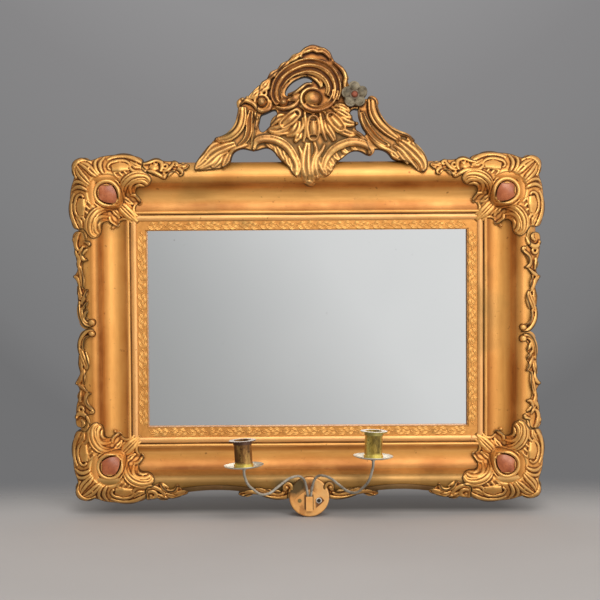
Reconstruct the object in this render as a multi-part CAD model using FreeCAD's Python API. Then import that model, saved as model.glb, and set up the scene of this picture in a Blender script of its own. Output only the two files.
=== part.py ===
"""A gilt rococo girandole mirror: a landscape frame of four moulded rails with carved corners,
edge trails and a pierced crest, a flat looking glass with pine backboards, and a pair of candle
branches that lift out of a brass keeper at the foot.

Millimetres. +X is to the right, +Z is up and the front faces -Y. The origin is the middle of the
backboards' rear face, which lies on the wall.
"""
import FreeCAD, Part
import math
import os

V = FreeCAD.Vector
os.makedirs("parts", exist_ok=True)

# ---------------------------------------------------------------- glass, rails and boards
SIGHT_WIDTH = 420.0            # the glass that shows
SIGHT_HEIGHT = 258.0
MOULDING_WIDTH = 89.0          # outer edge to sight edge
BOARD_THICKNESS = 6.0          # backboards, which carry the mirror on the wall
RAIL_EDGE_HEIGHT = 24.0        # the rail's outer side, from its back
HUMP_HEIGHT = 44.0             # the rounded outer member
HUMP_REACH = 19.0              # outer edge to the top of the hump
HUMP_SHOULDER = 29.0           # where the hump turns down into the cove
SHOULDER_HEIGHT = 37.0
SHOULDER_BOW = (1.6, 1.4)       # how far the shoulder swells past its chord, inwards and forward
COVE_START = 33.5
COVE_START_HEIGHT = 30.2
COVE_LOW = 45.0
COVE_LOW_HEIGHT = 23.6
COVE_END = 62.0
COVE_END_HEIGHT = 26.2
BEAD_START = 63.4
BEAD_END = 67.2
BEAD_TOP = 29.0
QUIRK_END = 68.8               # the narrow groove beside the bead
QUIRK_HEIGHT = 23.4
BAND_END = 76.0
BAND_HEIGHT = 27.0
BAND_CROWN = 28.2
STRIP_SEAT = 20.0              # the shelf that the pressed sight strip is glued to
STRIP_HEIGHT = 25.4
STRIP_LIP = 1.5                # plain lip at the glass
STRIP_LIP_DROP = 2.4
REBATE_WIDTH = 8.0
REBATE_DEPTH = 14.0
GLASS_THICKNESS = 3.0
GLASS_PLAY = 1.0               # room for the glass in its rebate, each side
BLOCK_LENGTH = 20.0            # glued blocks behind the glass
BLOCK_REACH = 7.0
BLOCK_RISE = 9.0
LONG_BLOCK_SHARES = (-0.7, 0.0, 0.7)    # places of the blocks along half of each side
SHORT_BLOCK_SHARES = (-0.4, 0.4)
BOARD_LAP = 10.0               # boards over the rails' backs
BOARD_JOINT = 0.6              # open joint between two boards
BOARD_COUNT = 3
NAIL_RADIUS = 0.8
NAIL_LENGTH = 16.0
NAIL_HEAD_RADIUS = 1.9
NAIL_HEAD = 0.7
NAIL_INSET = 4.5               # board edge to nail
CORNER_NAIL_INSET = 18.0       # board corner to nail, along the edge
END_NAIL_SHARES = (-0.6, 0.0, 0.6)      # nails along half of the top and bottom edges
KEY_LENGTH = 34.0              # flush keys across the mitres
KEY_WIDTH = 8.0
KEY_DEPTH = 5.0
KEY_INSET = 24.0               # outer edges to the key's middle

# ---------------------------------------------------------------- carved work
CARVING_RELIEF = 8.0           # carving over the hump
CARVING_LAP = 13.0             # how far carving may stand outside the rails
CARVING_BACK = 14.0            # rear of the overhanging carving, from the rails' backs
CARVING_END = 84.0
CARVING_SINK = 5.0             # its rear under the cove's lowest line
COVE_RELIEF = 0.7              # the share of the relief that stands at each member of the rail
COVE_END_RELIEF = 0.8
BAND_RELIEF = 0.6
STRIP_RELIEF = 0.5
EDGE_BEAD_RELIEF = 3.0
EDGE_BEAD_WIDTH = 6.0
RING_RADIUS = 19.5             # frame of the corner cabochon
RING_HEIGHT = 45.0
RING_INSET = 39.5              # outer edges to the ring's centre
CABOCHON_RADIUS = 11.5
CABOCHON_POINT = 17.0          # centre to the tip of the drop
CABOCHON_BELLY = 0.78          # half width of the drop half way to its tip, as a share of its radius
CABOCHON_SEAT = 39.0
CABOCHON_TOP = 47.5
CABOCHON_DOME = 5.8            # rise of its dome
POCKET_RUN = 1.0               # its pocket is cut this much past its top
ARCH_RISE = 9.5                # the bottom rail's sawn edge
ARCH_START = 188.0
ARCH_END = 52.0
NOTCH_DEPTH = 11.0             # the nick at the middle of each side
NOTCH_HALF = 13.0
NOTCH_BOW = (0.9, 2.75)        # how far its two sides swell, outwards and towards its middle
NOTCH_RUN = 1.0                # it is cut from this far outside the rail
NOTCH_LEFT = 1.3               # heights of the two nicks
NOTCH_RIGHT = -3.9
CREST_BACK = 24.0              # the crest's rear face from the wall
CREST_FRONT = 58.0
CREST_TOP_FRONT = 47.0
CREST_FOOT_FRONT = 44.0
CREST_SPARE = (3.0, 6.0)       # its side view runs this far past its foot and its top
ROSETTE_X = 62.5
ROSETTE_RISE = 85.0            # its centre over the top rail
ROSETTE_PETALS = 5
PETAL_RADIUS = 7.6
PETAL_REACH = 9.2
ROSETTE_BACK = 40.0
ROSETTE_FRONT = 57.0
ROSETTE_BOSS_RADIUS = 4.2
ROSETTE_BOSS_RISE = 3.0
BATTEN_WIDTH = 16.0
BATTEN_CENTRES = (-25.0, 32.0)
BATTEN_FOOT = 66.0             # length down the rail's back
BATTEN_HEAD = 78.0             # length up the crest's back
FOOT_SCREW_SHARES = (0.3, 0.8)          # screws along the batten's foot
HEAD_SCREW_SHARE = 0.7                  # and up its head
SCREW_RADIUS = 2.0
SCREW_HEAD_RADIUS = 3.8
SCREW_HEAD = 2.2
SCREW_LENGTH = 24.0
CREST_SCREW_LENGTH = 40.0
SCREW_CLEARANCE = 0.05

# ---------------------------------------------------------------- foot boss and candle branch
ROUNDEL_RADIUS = 26.4
ROUNDEL_X = 1.0
ROUNDEL_DROP = 0.5             # its centre below the bottom rail's edge
ROUNDEL_FRONT = 54.0           # its flat face, from the wall
ROUNDEL_BACK = 16.0
ROUNDEL_ROUND = 2.5            # softened front edge
PLATE_HALF_WIDTH = 19.5        # lozenge plate behind the keeper
PLATE_HALF_HEIGHT = 14.5
PLATE_BOW = 1.12               # its sides swell to this share of a straight-sided lozenge
PLATE_DROP = 4.5               # its middle, below the roundel's
PLATE_THICKNESS = 1.0
PLATE_SCREW_REACH = 12.5
PLATE_SCREW_RADIUS = 1.4
PLATE_SCREW_HEAD = 1.4
PLATE_SCREW_HEAD_RADIUS = 2.5
PLATE_SCREW_LENGTH = 14.0
WASHER_RADIUS = 3.7
WASHER_THICKNESS = 0.6
KEEPER_SHEET = 0.7
KEEPER_HEIGHT = 19.0
KEEPER_TOP = 1.5               # its mouth, above the roundel's centre
WIRE_RADIUS = 1.7
WIRE_SOLDER = 0.05             # solder between the wires, either side of their middle
WIRE_BEND = 0.47               # share of the shorter run that each bend of a wire takes
TANG_THICKNESS = 1.2
TANG_PLAY = 0.3
TANG_REST = 0.3                # the tang's end above the keeper's floor
PAN_REACH = 81.0               # frame's centre line to each candle
PAN_FRONT = 126.8              # wall to each candle
PAN_HEIGHTS = (49.9, 60.5)     # above the roundel's centre
PAN_LEANS = (-2.8, 1.8)        # degrees, the top leaning outwards
PAN_RADIUS = 25.0
PAN_SHEET = 0.9
PAN_RISE = 3.0
PAN_DISH = 0.3                 # share of its rise half way out to the edge
PAN_WELL = 13.0                # flat middle of the pan
CUP_RADIUS = 11.15
CUP_WALL = 0.8
CUP_HEIGHT = 34.0
CUP_FOOT_RADIUS = 12.2         # soldered band at its foot
CUP_FOOT_HEIGHT = 4.0
CUP_RIM_RADIUS = 17.0
CUP_RIM_SHEET = 1.0
CUP_RIM_COLLAR = 5.0
RIM_CLEARANCE = 0.05
TENON_RADIUS = 1.3
TENON_CLEARANCE = 0.1
FERRULE_RADIUS = 2.6
FERRULE_LENGTH = 3.0
FERRULE_GRIP = 0.6             # the wire runs this far up inside it

# ---------------------------------------------------------------- hanger
STRAP_WIDTH = 14.0
STRAP_SHEET = 1.2
STRAP_LENGTH = 46.0            # the ring's pivot down to the strap's foot
PIVOT_INSET = 22.0             # the top rail's edge down to the ring's pivot
HANGER_WIRE = 1.3
HANGER_CLEARANCE = 0.1
HANGER_BAR = 24.0              # straight top bar of the ring, between bend centres
HANGER_DROP = 9.0              # straight sides
HANGER_BEND = 2.6
HANGER_SCREW_RADIUS = 1.5
HANGER_SCREW_HEAD = 1.4
HANGER_SCREW_HEAD_RADIUS = 2.8
HANGER_SCREW_LENGTH = 16.0
HANGER_SCREW_RISES = (5.0, 13.0)        # above the strap's foot

# ---------------------------------------------------------------- sizes that follow
OUT_X = SIGHT_WIDTH / 2 + MOULDING_WIDTH
OUT_Z = SIGHT_HEIGHT / 2 + MOULDING_WIDTH
FRAME_BACK = -BOARD_THICKNESS
GLASS_BACK = FRAME_BACK - REBATE_DEPTH + GLASS_THICKNESS
REBATE_X = SIGHT_WIDTH / 2 + REBATE_WIDTH
REBATE_Z = SIGHT_HEIGHT / 2 + REBATE_WIDTH
BOARD_X = REBATE_X + BOARD_LAP
BOARD_Z = REBATE_Z + BOARD_LAP
FAR = 2 * max(OUT_X, OUT_Z)    # longer than any cut needs
DEEP = 200.0                   # deeper than the object

# Outlines, each in the plane of the glass. The corner is drawn for one half of its mitre, as
# (distance from the outer side edge, distance from the outer top edge), and mirrored.
CORNER_HALF = [(-3.0, -3.0), (9.0, -6.4), (17.0, -3.2), (30.0, -7.6), (45.0, -10.4),
               (59.0, -11.3), (73.0, -9.4), (86.0, -3.0), (86.0, 8.0), (92.0, 14.5), (98.0, 21.0),
               (96.0, 29.0), (88.0, 32.5), (79.0, 34.0), (77.0, 41.0), (81.5, 47.0), (82.0, 52.0),
               (77.5, 55.0), (77.0, 64.0), (83.0, 69.0), (81.0, 74.0), (79.0, 79.0)]
# The top and bottom trails are given as (distance from the left outer edge, height over the outer
# edge that they lie on), and the side trails as (distance from the left outer edge, height).
TOP_TRAIL = [(85.0, 0.0), (95.0, 1.5), (104.0, 4.3), (110.5, 2.8), (121.0, 1.3), (131.0, 1.0),
             (138.5, -3.2), (144.5, -2.0), (147.7, -5.0), (145.0, -8.7), (140.7, -12.0), (139.7, -17.2),
             (134.5, -18.8), (130.0, -14.0), (124.0, -13.2), (119.7, -17.5), (118.0, -22.4),
             (113.0, -23.0), (106.0, -19.5), (97.0, -16.0)]
TOP_TRAIL_SHIFT = 8.0          # the right-hand trail stands this much further out
BOTTOM_TRAIL = [(86.0, 13.0), (96.0, 15.0), (105.5, 19.4), (110.0, 13.0), (118.0, 7.5), (125.0, 9.5),
                (128.5, 15.0), (134.0, 11.0), (142.0, 8.0), (141.0, 3.5), (133.0, 0.2), (124.0, -2.4),
                (115.0, -4.4), (104.0, -3.4), (93.0, -5.0), (85.0, -4.0)]
SIDE_TRAIL_LONG = [(-3.0, 128.0), (-7.0, 120.0), (-4.6, 108.0), (-2.8, 98.0), (-0.6, 88.0),
                   (-1.0, 76.0), (-5.2, 70.0), (0.4, 61.0), (0.0, 47.0), (1.2, 30.0), (3.0, 18.0),
                   (9.0, 7.4), (15.0, 4.6), (22.0, 5.6), (25.1, 10.5), (22.0, 15.6), (15.0, 15.4),
                   (13.0, 22.0), (14.4, 28.0), (11.0, 32.0), (15.0, 38.0), (11.6, 45.0), (14.6, 53.0),
                   (9.4, 55.0), (8.4, 68.0), (7.4, 80.0), (9.0, 89.0), (14.4, 90.6), (13.0, 95.4),
                   (7.6, 99.0), (11.0, 106.0), (19.0, 110.0), (17.4, 115.4), (12.0, 117.0),
                   (9.0, 127.0)]
SIDE_TRAIL_SHORT = [(9.6, 0.6), (4.6, -5.0), (0.0, -14.0), (0.2, -28.0), (1.0, -44.0), (1.6, -57.0),
                    (-4.2, -68.6), (0.0, -75.0), (-0.4, -88.0), (-3.6, -98.0), (-5.0, -112.0),
                    (-3.0, -126.0), (9.0, -124.0), (10.4, -110.6), (19.0, -109.6), (22.4, -104.6),
                    (16.6, -98.6), (11.6, -93.0), (13.0, -86.0), (17.0, -82.6), (13.0, -79.0),
                    (8.4, -72.0), (9.0, -57.0), (14.4, -49.0), (12.6, -38.0), (9.4, -28.0),
                    (8.4, -16.0), (13.0, -8.0), (22.0, -8.4), (24.4, -3.6), (21.0, 1.2), (15.0, 2.0)]
# The apron scroll and the crest are given as (distance right of the middle, height over the outer
# edge that they lie on).
APRON = [(20.0, -4.0), (31.0, -6.0), (44.0, -5.0), (56.0, -1.8), (67.0, 1.6), (78.0, 2.2), (87.0, -0.6),
         (92.0, 2.4), (86.0, 7.0), (74.0, 10.6), (61.0, 11.4), (50.0, 7.0), (40.0, 4.4), (34.4, 6.4),
         (33.8, 14.4), (27.0, 19.6), (20.4, 16.4), (19.6, 9.0)]
CREST = [(-145.5, -8.0), (-142.0, 1.0), (-133.0, 10.0), (-124.0, 23.0), (-114.0, 31.6), (-101.0, 36.0),
         (-91.0, 44.5), (-87.4, 57.0), (-86.0, 71.0), (-77.0, 82.5), (-64.0, 96.0), (-50.0, 107.0),
         (-35.0, 118.5), (-22.0, 131.0), (-10.0, 140.0), (1.0, 148.5), (9.0, 151.5), (22.0, 147.5),
         (32.0, 141.0), (37.0, 130.0), (47.0, 123.0), (53.0, 111.0), (57.5, 96.0), (71.0, 88.0),
         (75.0, 80.0), (82.0, 80.5), (89.0, 76.5), (92.6, 63.0), (99.0, 51.0), (110.0, 40.5),
         (124.0, 34.0), (137.0, 28.0), (141.0, 20.5), (150.0, 10.0), (155.5, -2.0), (154.0, -12.5),
         (146.0, -15.0), (138.0, -7.5), (127.0, -1.0), (113.0, 1.6), (106.0, 9.5), (96.0, 14.4),
         (86.0, 13.0), (81.0, 7.2), (71.0, 11.8), (57.0, 11.4), (46.0, 3.0), (37.0, -4.0),
         (33.0, -14.0), (24.0, -22.0), (14.0, -28.0), (7.0, -33.2), (0.0, -31.0), (-9.0, -26.5),
         (-17.0, -17.0), (-24.0, -7.0), (-34.0, 2.0), (-42.0, 12.0), (-52.0, 17.6), (-68.0, 14.0),
         (-82.0, 16.6), (-95.0, 10.6), (-99.0, -0.4), (-108.0, -7.6), (-124.0, -10.4)]
CREST_HOLES = [
    [(-57.0, 60.5), (-48.0, 63.8), (-39.5, 66.0), (-38.6, 57.0), (-47.0, 46.0), (-57.0, 37.8),
     (-61.4, 44.0), (-60.2, 53.0)],
    [(-26.6, 86.6), (-23.6, 84.0), (-15.0, 89.0), (-6.0, 96.6), (3.0, 101.4), (9.0, 103.4),
     (2.0, 108.6), (-9.0, 107.0), (-20.0, 100.0)],
    [(57.6, 64.0), (62.6, 67.0), (67.4, 64.6), (69.6, 54.0), (74.0, 41.0), (77.6, 34.6),
     (71.6, 32.6), (65.0, 39.0), (62.4, 50.0)]]
LEFT_LEG_JOINT = [(-72.0, -4.0), (-58.0, 112.0)]
RIGHT_LEG_JOINT = [(90.0, -4.0), (73.0, 34.0), (67.0, 66.0), (80.0, 112.0)]

# Candle-branch routes: (distance along the branch's own upright plane, height over the roundel's
# centre)
LEFT_ROUTE = [(0.0, 5.5), (7.5, 29.9), (30.0, 29.9), (64.0, 12.3), (78.0, 12.3), (99.0, 27.5),
              (104.6, 41.5)]
RIGHT_ROUTE = [(0.0, 5.5), (8.5, 30.7), (31.0, 30.7), (63.0, 13.9), (78.0, 13.9), (98.0, 30.5),
               (104.6, 50.5)]


# ================================================================ helpers
def at_height(point, y):
    """A point of the glass's plane, (x, z), at depth y."""
    return V(point[0], y, point[1])


def moved(points, right, up):
    return [(x + right, z + up) for x, z in points]


def smooth_face(points, y):
    """A face inside a closed smooth curve through the points.

    Spacing the parameters by the square root of each step keeps the curve from looping at tight bends.
    """
    places = [at_height(p, y) for p in points]
    parameters = [0.0]
    for a, b in zip(places, places[1:] + places[:1]):
        parameters.append(parameters[-1] + math.sqrt((b - a).Length))
    curve = Part.BSplineCurve()
    curve.interpolate(Points=places, PeriodicFlag=True, Parameters=parameters)
    edges = []
    for start, end in zip(parameters, parameters[1:]):
        piece = curve.copy()
        piece.segment(start, end)
        edges.append(piece.toShape())
    return Part.Face(Part.Wire(edges))


def straight_face(points, y):
    """A face inside straight lines from point to point."""
    corners = [at_height(p, y) for p in points]
    return Part.Face(Part.makePolygon(corners + corners[:1]))


def prism(face, depth):
    """The face pushed towards the front by the depth."""
    return face.extrude(V(0, -depth, 0))


def box(low, high):
    """A box between two corners."""
    return Part.makeBox(high[0] - low[0], high[1] - low[1], high[2] - low[2], V(*low))


def rod(start, axis, radius, length):
    return Part.makeCylinder(radius, length, V(*start), axis)


def only_solid(shape):
    """The one large solid of a cut, without crumbs."""
    return max(shape.Solids, key=lambda solid: solid.Volume)


def group(solids):
    return Part.makeCompound(solids)


def save(shape, name):
    shape.exportStep("parts/" + name + ".step")


def section_wire(edges):
    return Part.Face(Part.Wire(edges))


def line(a, b):
    return Part.LineSegment(a, b).toShape()


def arc(a, middle, b):
    return Part.Arc(a, middle, b).toShape()


def chain(points):
    """Edges from (u, h) pairs; three in one tuple after "arc" make an arc."""
    edges = []
    here = points[0]
    for step in points[1:]:
        if step[0] == "arc":
            edges.append(arc(here, step[1], step[2]))
            here = step[2]
        else:
            edges.append(line(here, step))
            here = step
    return edges


# ================================================================ rails
def across(u, h):
    """A point of the rail's section: u inwards from the outer edge, h forward of the back."""
    return V(u, h, 0)


def rail_section():
    rebate = MOULDING_WIDTH - REBATE_WIDTH
    hump_side = across(HUMP_REACH * (1 - math.cos(math.radians(45))),
                       RAIL_EDGE_HEIGHT + (HUMP_HEIGHT - RAIL_EDGE_HEIGHT) * math.sin(math.radians(45)))
    shoulder = across((HUMP_REACH + HUMP_SHOULDER) / 2 + SHOULDER_BOW[0],
                      (HUMP_HEIGHT + SHOULDER_HEIGHT) / 2 + SHOULDER_BOW[1])
    bead_foot = COVE_END_HEIGHT
    steps = [across(0, 0), across(0, RAIL_EDGE_HEIGHT),
             ("arc", hump_side, across(HUMP_REACH, HUMP_HEIGHT)),
             ("arc", shoulder, across(HUMP_SHOULDER, SHOULDER_HEIGHT)),
             across(COVE_START, COVE_START_HEIGHT),
             ("arc", across(COVE_LOW, COVE_LOW_HEIGHT), across(COVE_END, COVE_END_HEIGHT)),
             across(BEAD_START, bead_foot),
             ("arc", across((BEAD_START + BEAD_END) / 2, BEAD_TOP), across(BEAD_END, bead_foot)),
             across(BEAD_END, QUIRK_HEIGHT), across(QUIRK_END, QUIRK_HEIGHT),
             across(QUIRK_END, BAND_HEIGHT),
             ("arc", across((QUIRK_END + BAND_END) / 2, BAND_CROWN), across(BAND_END, BAND_HEIGHT)),
             across(BAND_END, STRIP_SEAT), across(MOULDING_WIDTH, STRIP_SEAT),
             across(MOULDING_WIDTH, REBATE_DEPTH), across(rebate, REBATE_DEPTH),
             across(rebate, 0), across(0, 0)]
    return section_wire(chain(steps))


def strip_section():
    lip = MOULDING_WIDTH - STRIP_LIP
    steps = [across(BAND_END, STRIP_SEAT), across(BAND_END, STRIP_HEIGHT), across(lip, STRIP_HEIGHT),
             across(lip, STRIP_HEIGHT - STRIP_LIP_DROP),
             across(MOULDING_WIDTH, STRIP_HEIGHT - STRIP_LIP_DROP),
             across(MOULDING_WIDTH, STRIP_SEAT), across(BAND_END, STRIP_SEAT)]
    return section_wire(chain(steps))


def carving_section(relief):
    """The space that carving fills: the rail's outline, raised by the relief."""
    front = HUMP_HEIGHT + relief
    lap = -CARVING_LAP * relief / CARVING_RELIEF
    inside = COVE_LOW_HEIGHT - CARVING_SINK
    steps = [across(lap, CARVING_BACK), across(lap, RAIL_EDGE_HEIGHT + relief / 2),
             ("arc", across(lap / 4, HUMP_HEIGHT - relief / 4), across(HUMP_REACH, front)),
             ("arc", across(HUMP_SHOULDER, front - relief / 4),
              across(COVE_START + relief * COVE_RELIEF, SHOULDER_HEIGHT)),
             ("arc", across(COVE_LOW + relief * COVE_RELIEF, COVE_LOW_HEIGHT + relief),
              across(COVE_END, COVE_END_HEIGHT + relief * COVE_END_RELIEF)),
             across(BAND_END, BAND_CROWN + relief * BAND_RELIEF),
             across(CARVING_END, STRIP_HEIGHT + relief * STRIP_RELIEF),
             across(CARVING_END, inside), across(HUMP_REACH, inside), across(0, CARVING_BACK),
             across(lap, CARVING_BACK)]
    return section_wire(chain(steps))


def run(section, side, reach):
    """A section run along one side of the frame and mitred; reach is how far it may stand out."""
    turned = section.copy()
    half = OUT_X if side in ("top", "bottom") else OUT_Z
    edge = OUT_Z if side in ("top", "bottom") else OUT_X
    length = 2 * (half + reach)
    # The section lies in X (u) and Y (h): u turns to point at the glass, h to the front.
    place = FreeCAD.Matrix()
    if side == "top":
        columns = [V(0, 0, -1), V(0, -1, 0), V(-half - reach, FRAME_BACK, edge), V(length, 0, 0)]
    elif side == "bottom":
        columns = [V(0, 0, 1), V(0, -1, 0), V(-half - reach, FRAME_BACK, -edge), V(length, 0, 0)]
    elif side == "left":
        columns = [V(1, 0, 0), V(0, -1, 0), V(-edge, FRAME_BACK, -half - reach), V(0, 0, length)]
    else:
        columns = [V(-1, 0, 0), V(0, -1, 0), V(edge, FRAME_BACK, -half - reach), V(0, 0, length)]
    u_way, h_way, corner, along = columns
    third = u_way.cross(h_way)
    place.A11, place.A21, place.A31 = u_way.x, u_way.y, u_way.z
    place.A12, place.A22, place.A32 = h_way.x, h_way.y, h_way.z
    place.A13, place.A23, place.A33 = third.x, third.y, third.z
    place.A14, place.A24, place.A34 = corner.x, corner.y, corner.z
    turned = turned.transformGeometry(place)
    return only_solid(turned.extrude(along).common(sector(side, reach)))


def sector(side, reach):
    """The part of space between two mitre planes."""
    wide = OUT_X + reach
    high = OUT_Z + reach
    inner = wide - high
    corners = {"top": [(-wide, high), (wide, high), (inner, 0), (-inner, 0)],
               "bottom": [(-wide, -high), (wide, -high), (inner, 0), (-inner, 0)],
               "left": [(-wide, high), (-wide, -high), (-inner, 0)],
               "right": [(wide, high), (wide, -high), (inner, 0)]}
    return prism(straight_face(corners[side], DEEP / 2), DEEP)


SIDES = ("top", "bottom", "left", "right")


def arch_cut(sign):
    """What is sawn from the bottom rail's edge on one side, and the strip that follows it."""
    middle = sign * (ARCH_START + ARCH_END) / 2
    start = at_height((sign * ARCH_START, -OUT_Z), 0)
    end = at_height((sign * ARCH_END, -OUT_Z), 0)
    top = at_height((middle, -OUT_Z + ARCH_RISE), 0)
    return start, top, end


def arch_prism(sign, lift):
    """The material under the arch, raised by lift."""
    start, top, end = [p + V(0, DEEP / 2, lift) for p in arch_cut(sign)]
    below = V(0, 0, -DEEP)
    wire = [arc(start, top, end), line(end, end + below), line(end + below, start + below),
            line(start + below, start)]
    return prism(section_wire(wire), DEEP)


def notch_prism(sign, middle):
    """The nick near the middle of one side."""
    outer = sign * (OUT_X + NOTCH_RUN)
    tip = at_height((sign * (OUT_X - NOTCH_DEPTH), middle), DEEP / 2)
    high = at_height((outer, middle + NOTCH_HALF), DEEP / 2)
    low = at_height((outer, middle - NOTCH_HALF), DEEP / 2)
    bend_high = (high + tip) * 0.5 + V(sign * NOTCH_BOW[0], 0, -NOTCH_BOW[1])
    bend_low = (low + tip) * 0.5 + V(sign * NOTCH_BOW[0], 0, NOTCH_BOW[1])
    wire = [arc(high, bend_high, tip), arc(tip, bend_low, low), line(low, high)]
    return prism(section_wire(wire), DEEP)


def mitre_key(sign_x, sign_z):
    """A flush key across one mitre."""
    bar = box((-KEY_LENGTH / 2, -KEY_DEPTH, -KEY_WIDTH / 2), (KEY_LENGTH / 2, 0, KEY_WIDTH / 2))
    bar.rotate(V(0, 0, 0), V(0, 1, 0), 45 * sign_x * sign_z)
    bar.translate(V(sign_x * (OUT_X - KEY_INSET), FRAME_BACK, sign_z * (OUT_Z - KEY_INSET)))
    return bar


CORNERS = {"top_left": (-1, 1), "top_right": (1, 1), "bottom_left": (-1, -1), "bottom_right": (1, -1)}


# ================================================================ back
def board_edges():
    """Heights of the boards' joints, from the top down."""
    pitch = 2 * BOARD_Z / BOARD_COUNT
    return [BOARD_Z - i * pitch for i in range(BOARD_COUNT + 1)]


def nail_places():
    places = []
    edges = board_edges()
    for top, foot in zip(edges, edges[1:]):
        for sign in (-1, 1):
            for height in (top - CORNER_NAIL_INSET, foot + CORNER_NAIL_INSET):
                places.append((sign * (BOARD_X - NAIL_INSET), height))
    for height in (BOARD_Z - NAIL_INSET, NAIL_INSET - BOARD_Z):
        for share in END_NAIL_SHARES:
            places.append((share * BOARD_X, height))
    return places


def nail(place, growth):
    """A round nail from the boards' rear face, or with growth its hole."""
    shank = rod((place[0], -NAIL_HEAD, place[1]), V(0, -1, 0), NAIL_RADIUS + growth,
                NAIL_LENGTH - NAIL_HEAD + growth)
    head = rod((place[0], 0, place[1]), V(0, -1, 0), NAIL_HEAD_RADIUS + growth, NAIL_HEAD)
    return shank.fuse(head).removeSplitter()


def screw(place, y, way, sizes, growth):
    """A countersunk screw whose head's face is at y; sizes are shank and head radius, head depth, length."""
    shank_radius, head_radius, head_depth, length = sizes
    start = V(place[0], y, place[1])
    shank = Part.makeCylinder(shank_radius + growth, length + growth, start, way)
    head = Part.makeCone(head_radius + growth, shank_radius + growth, head_depth, start, way)
    return shank.fuse(head).removeSplitter()


BATTEN_SCREW = (SCREW_RADIUS, SCREW_HEAD_RADIUS, SCREW_HEAD, SCREW_LENGTH)
CREST_SCREW = (SCREW_RADIUS, SCREW_HEAD_RADIUS, SCREW_HEAD, CREST_SCREW_LENGTH)


def batten_screws(growth):
    """Two screws through each batten into the rail, and one up in the crest."""
    screws = []
    back = V(0, -1, 0)
    for x in BATTEN_CENTRES:
        for share in FOOT_SCREW_SHARES:
            height = OUT_Z - BATTEN_FOOT * share
            screws.append(screw((x, height), 0, back, BATTEN_SCREW, growth))
        screws.append(screw((x, OUT_Z + BATTEN_HEAD * HEAD_SCREW_SHARE), 0, back, CREST_SCREW, growth))
    return screws


def glazing_block(middle, way):
    """A three-cornered block in the rebate; way points from the rebate's wall to the glass's middle."""
    wall = V(middle[0], GLASS_BACK, middle[1])
    inwards = V(way[0], 0, way[1])
    along = V(way[1], 0, way[0]) * BLOCK_LENGTH
    foot = wall - along * 0.5
    corners = [foot, foot + inwards * BLOCK_REACH, foot + V(0, BLOCK_RISE, 0), foot]
    return Part.Face(Part.makePolygon(corners)).extrude(along)


def glazing_blocks():
    blocks = []
    for sign in (-1, 1):
        for share in LONG_BLOCK_SHARES:
            blocks.append(glazing_block((share * REBATE_X, sign * REBATE_Z), (0, -sign)))
        for share in SHORT_BLOCK_SHARES:
            blocks.append(glazing_block((sign * REBATE_X, share * REBATE_Z), (-sign, 0)))
    return blocks


# ================================================================ carving
def corner_outline():
    """The corner's outline at the top left, from its half and the half mirrored at the mitre."""
    other = [(b, a) for a, b in reversed(CORNER_HALF[1:-1])]
    return [(-OUT_X + a, OUT_Z - b) for a, b in CORNER_HALF + other]


def drop_outline(radius, point, y):
    """A drop: round at the outer end, with its tip towards the glass, at the top left corner."""
    centre = V(-OUT_X + RING_INSET, y, OUT_Z - RING_INSET)
    inwards = V(1, 0, -1).normalize()
    side = V(1, 0, 1).normalize()
    tip = centre + inwards * point
    left = centre - side * radius
    right = centre + side * radius
    far = centre - inwards * radius
    belly = radius * CABOCHON_BELLY
    left_bow = centre - side * belly + inwards * point * 0.5
    right_bow = centre + side * belly + inwards * point * 0.5
    wire = [arc(left, far, right), arc(right, right_bow, tip), arc(tip, left_bow, left)]
    return section_wire(wire)


def cabochon(growth):
    """The domed drop at the top left corner, or with growth the pocket that it sits in."""
    drop = drop_outline(CABOCHON_RADIUS + growth, CABOCHON_POINT + growth, FRAME_BACK - CABOCHON_SEAT)
    height = CABOCHON_TOP - CABOCHON_SEAT
    if growth > 0:
        return prism(drop, height + POCKET_RUN)
    body = prism(drop, height)
    ball_radius = (CABOCHON_POINT * CABOCHON_POINT + CABOCHON_DOME * CABOCHON_DOME) / (2 * CABOCHON_DOME)
    centre = V(-OUT_X + RING_INSET, FRAME_BACK - CABOCHON_TOP + ball_radius, OUT_Z - RING_INSET)
    return only_solid(body.common(Part.makeSphere(ball_radius, centre)))


def crest_section():
    """The crest's side view, from under the rail's front to the top."""
    low = OUT_Z + min(p[1] for p in CREST) - CREST_SPARE[0]
    top = OUT_Z + max(p[1] for p in CREST) + CREST_SPARE[1]
    foot = OUT_Z - HUMP_REACH
    corners = [V(0, -CREST_BACK, OUT_Z), V(0, -CREST_BACK, top), V(0, -CREST_TOP_FRONT, top),
               V(0, -CREST_FRONT, OUT_Z + BATTEN_FOOT), V(0, -CREST_FRONT, foot),
               V(0, -CREST_FOOT_FRONT, low), V(0, -CREST_BACK - BOARD_THICKNESS, low),
               V(0, -CREST_BACK - BOARD_THICKNESS, OUT_Z)]
    return Part.Face(Part.makePolygon(corners + corners[:1]))


def side_of(joint, sign):
    """Everything on one side of a crest joint, left for -1 and right for 1."""
    far = sign * FAR
    low = joint[0][1] - FAR / 2
    high = joint[-1][1] + FAR / 2
    points = [(joint[0][0], low)] + joint + [(joint[-1][0], high), (far, high), (far, low)]
    return prism(straight_face(points, DEEP / 2), DEEP)


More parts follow.
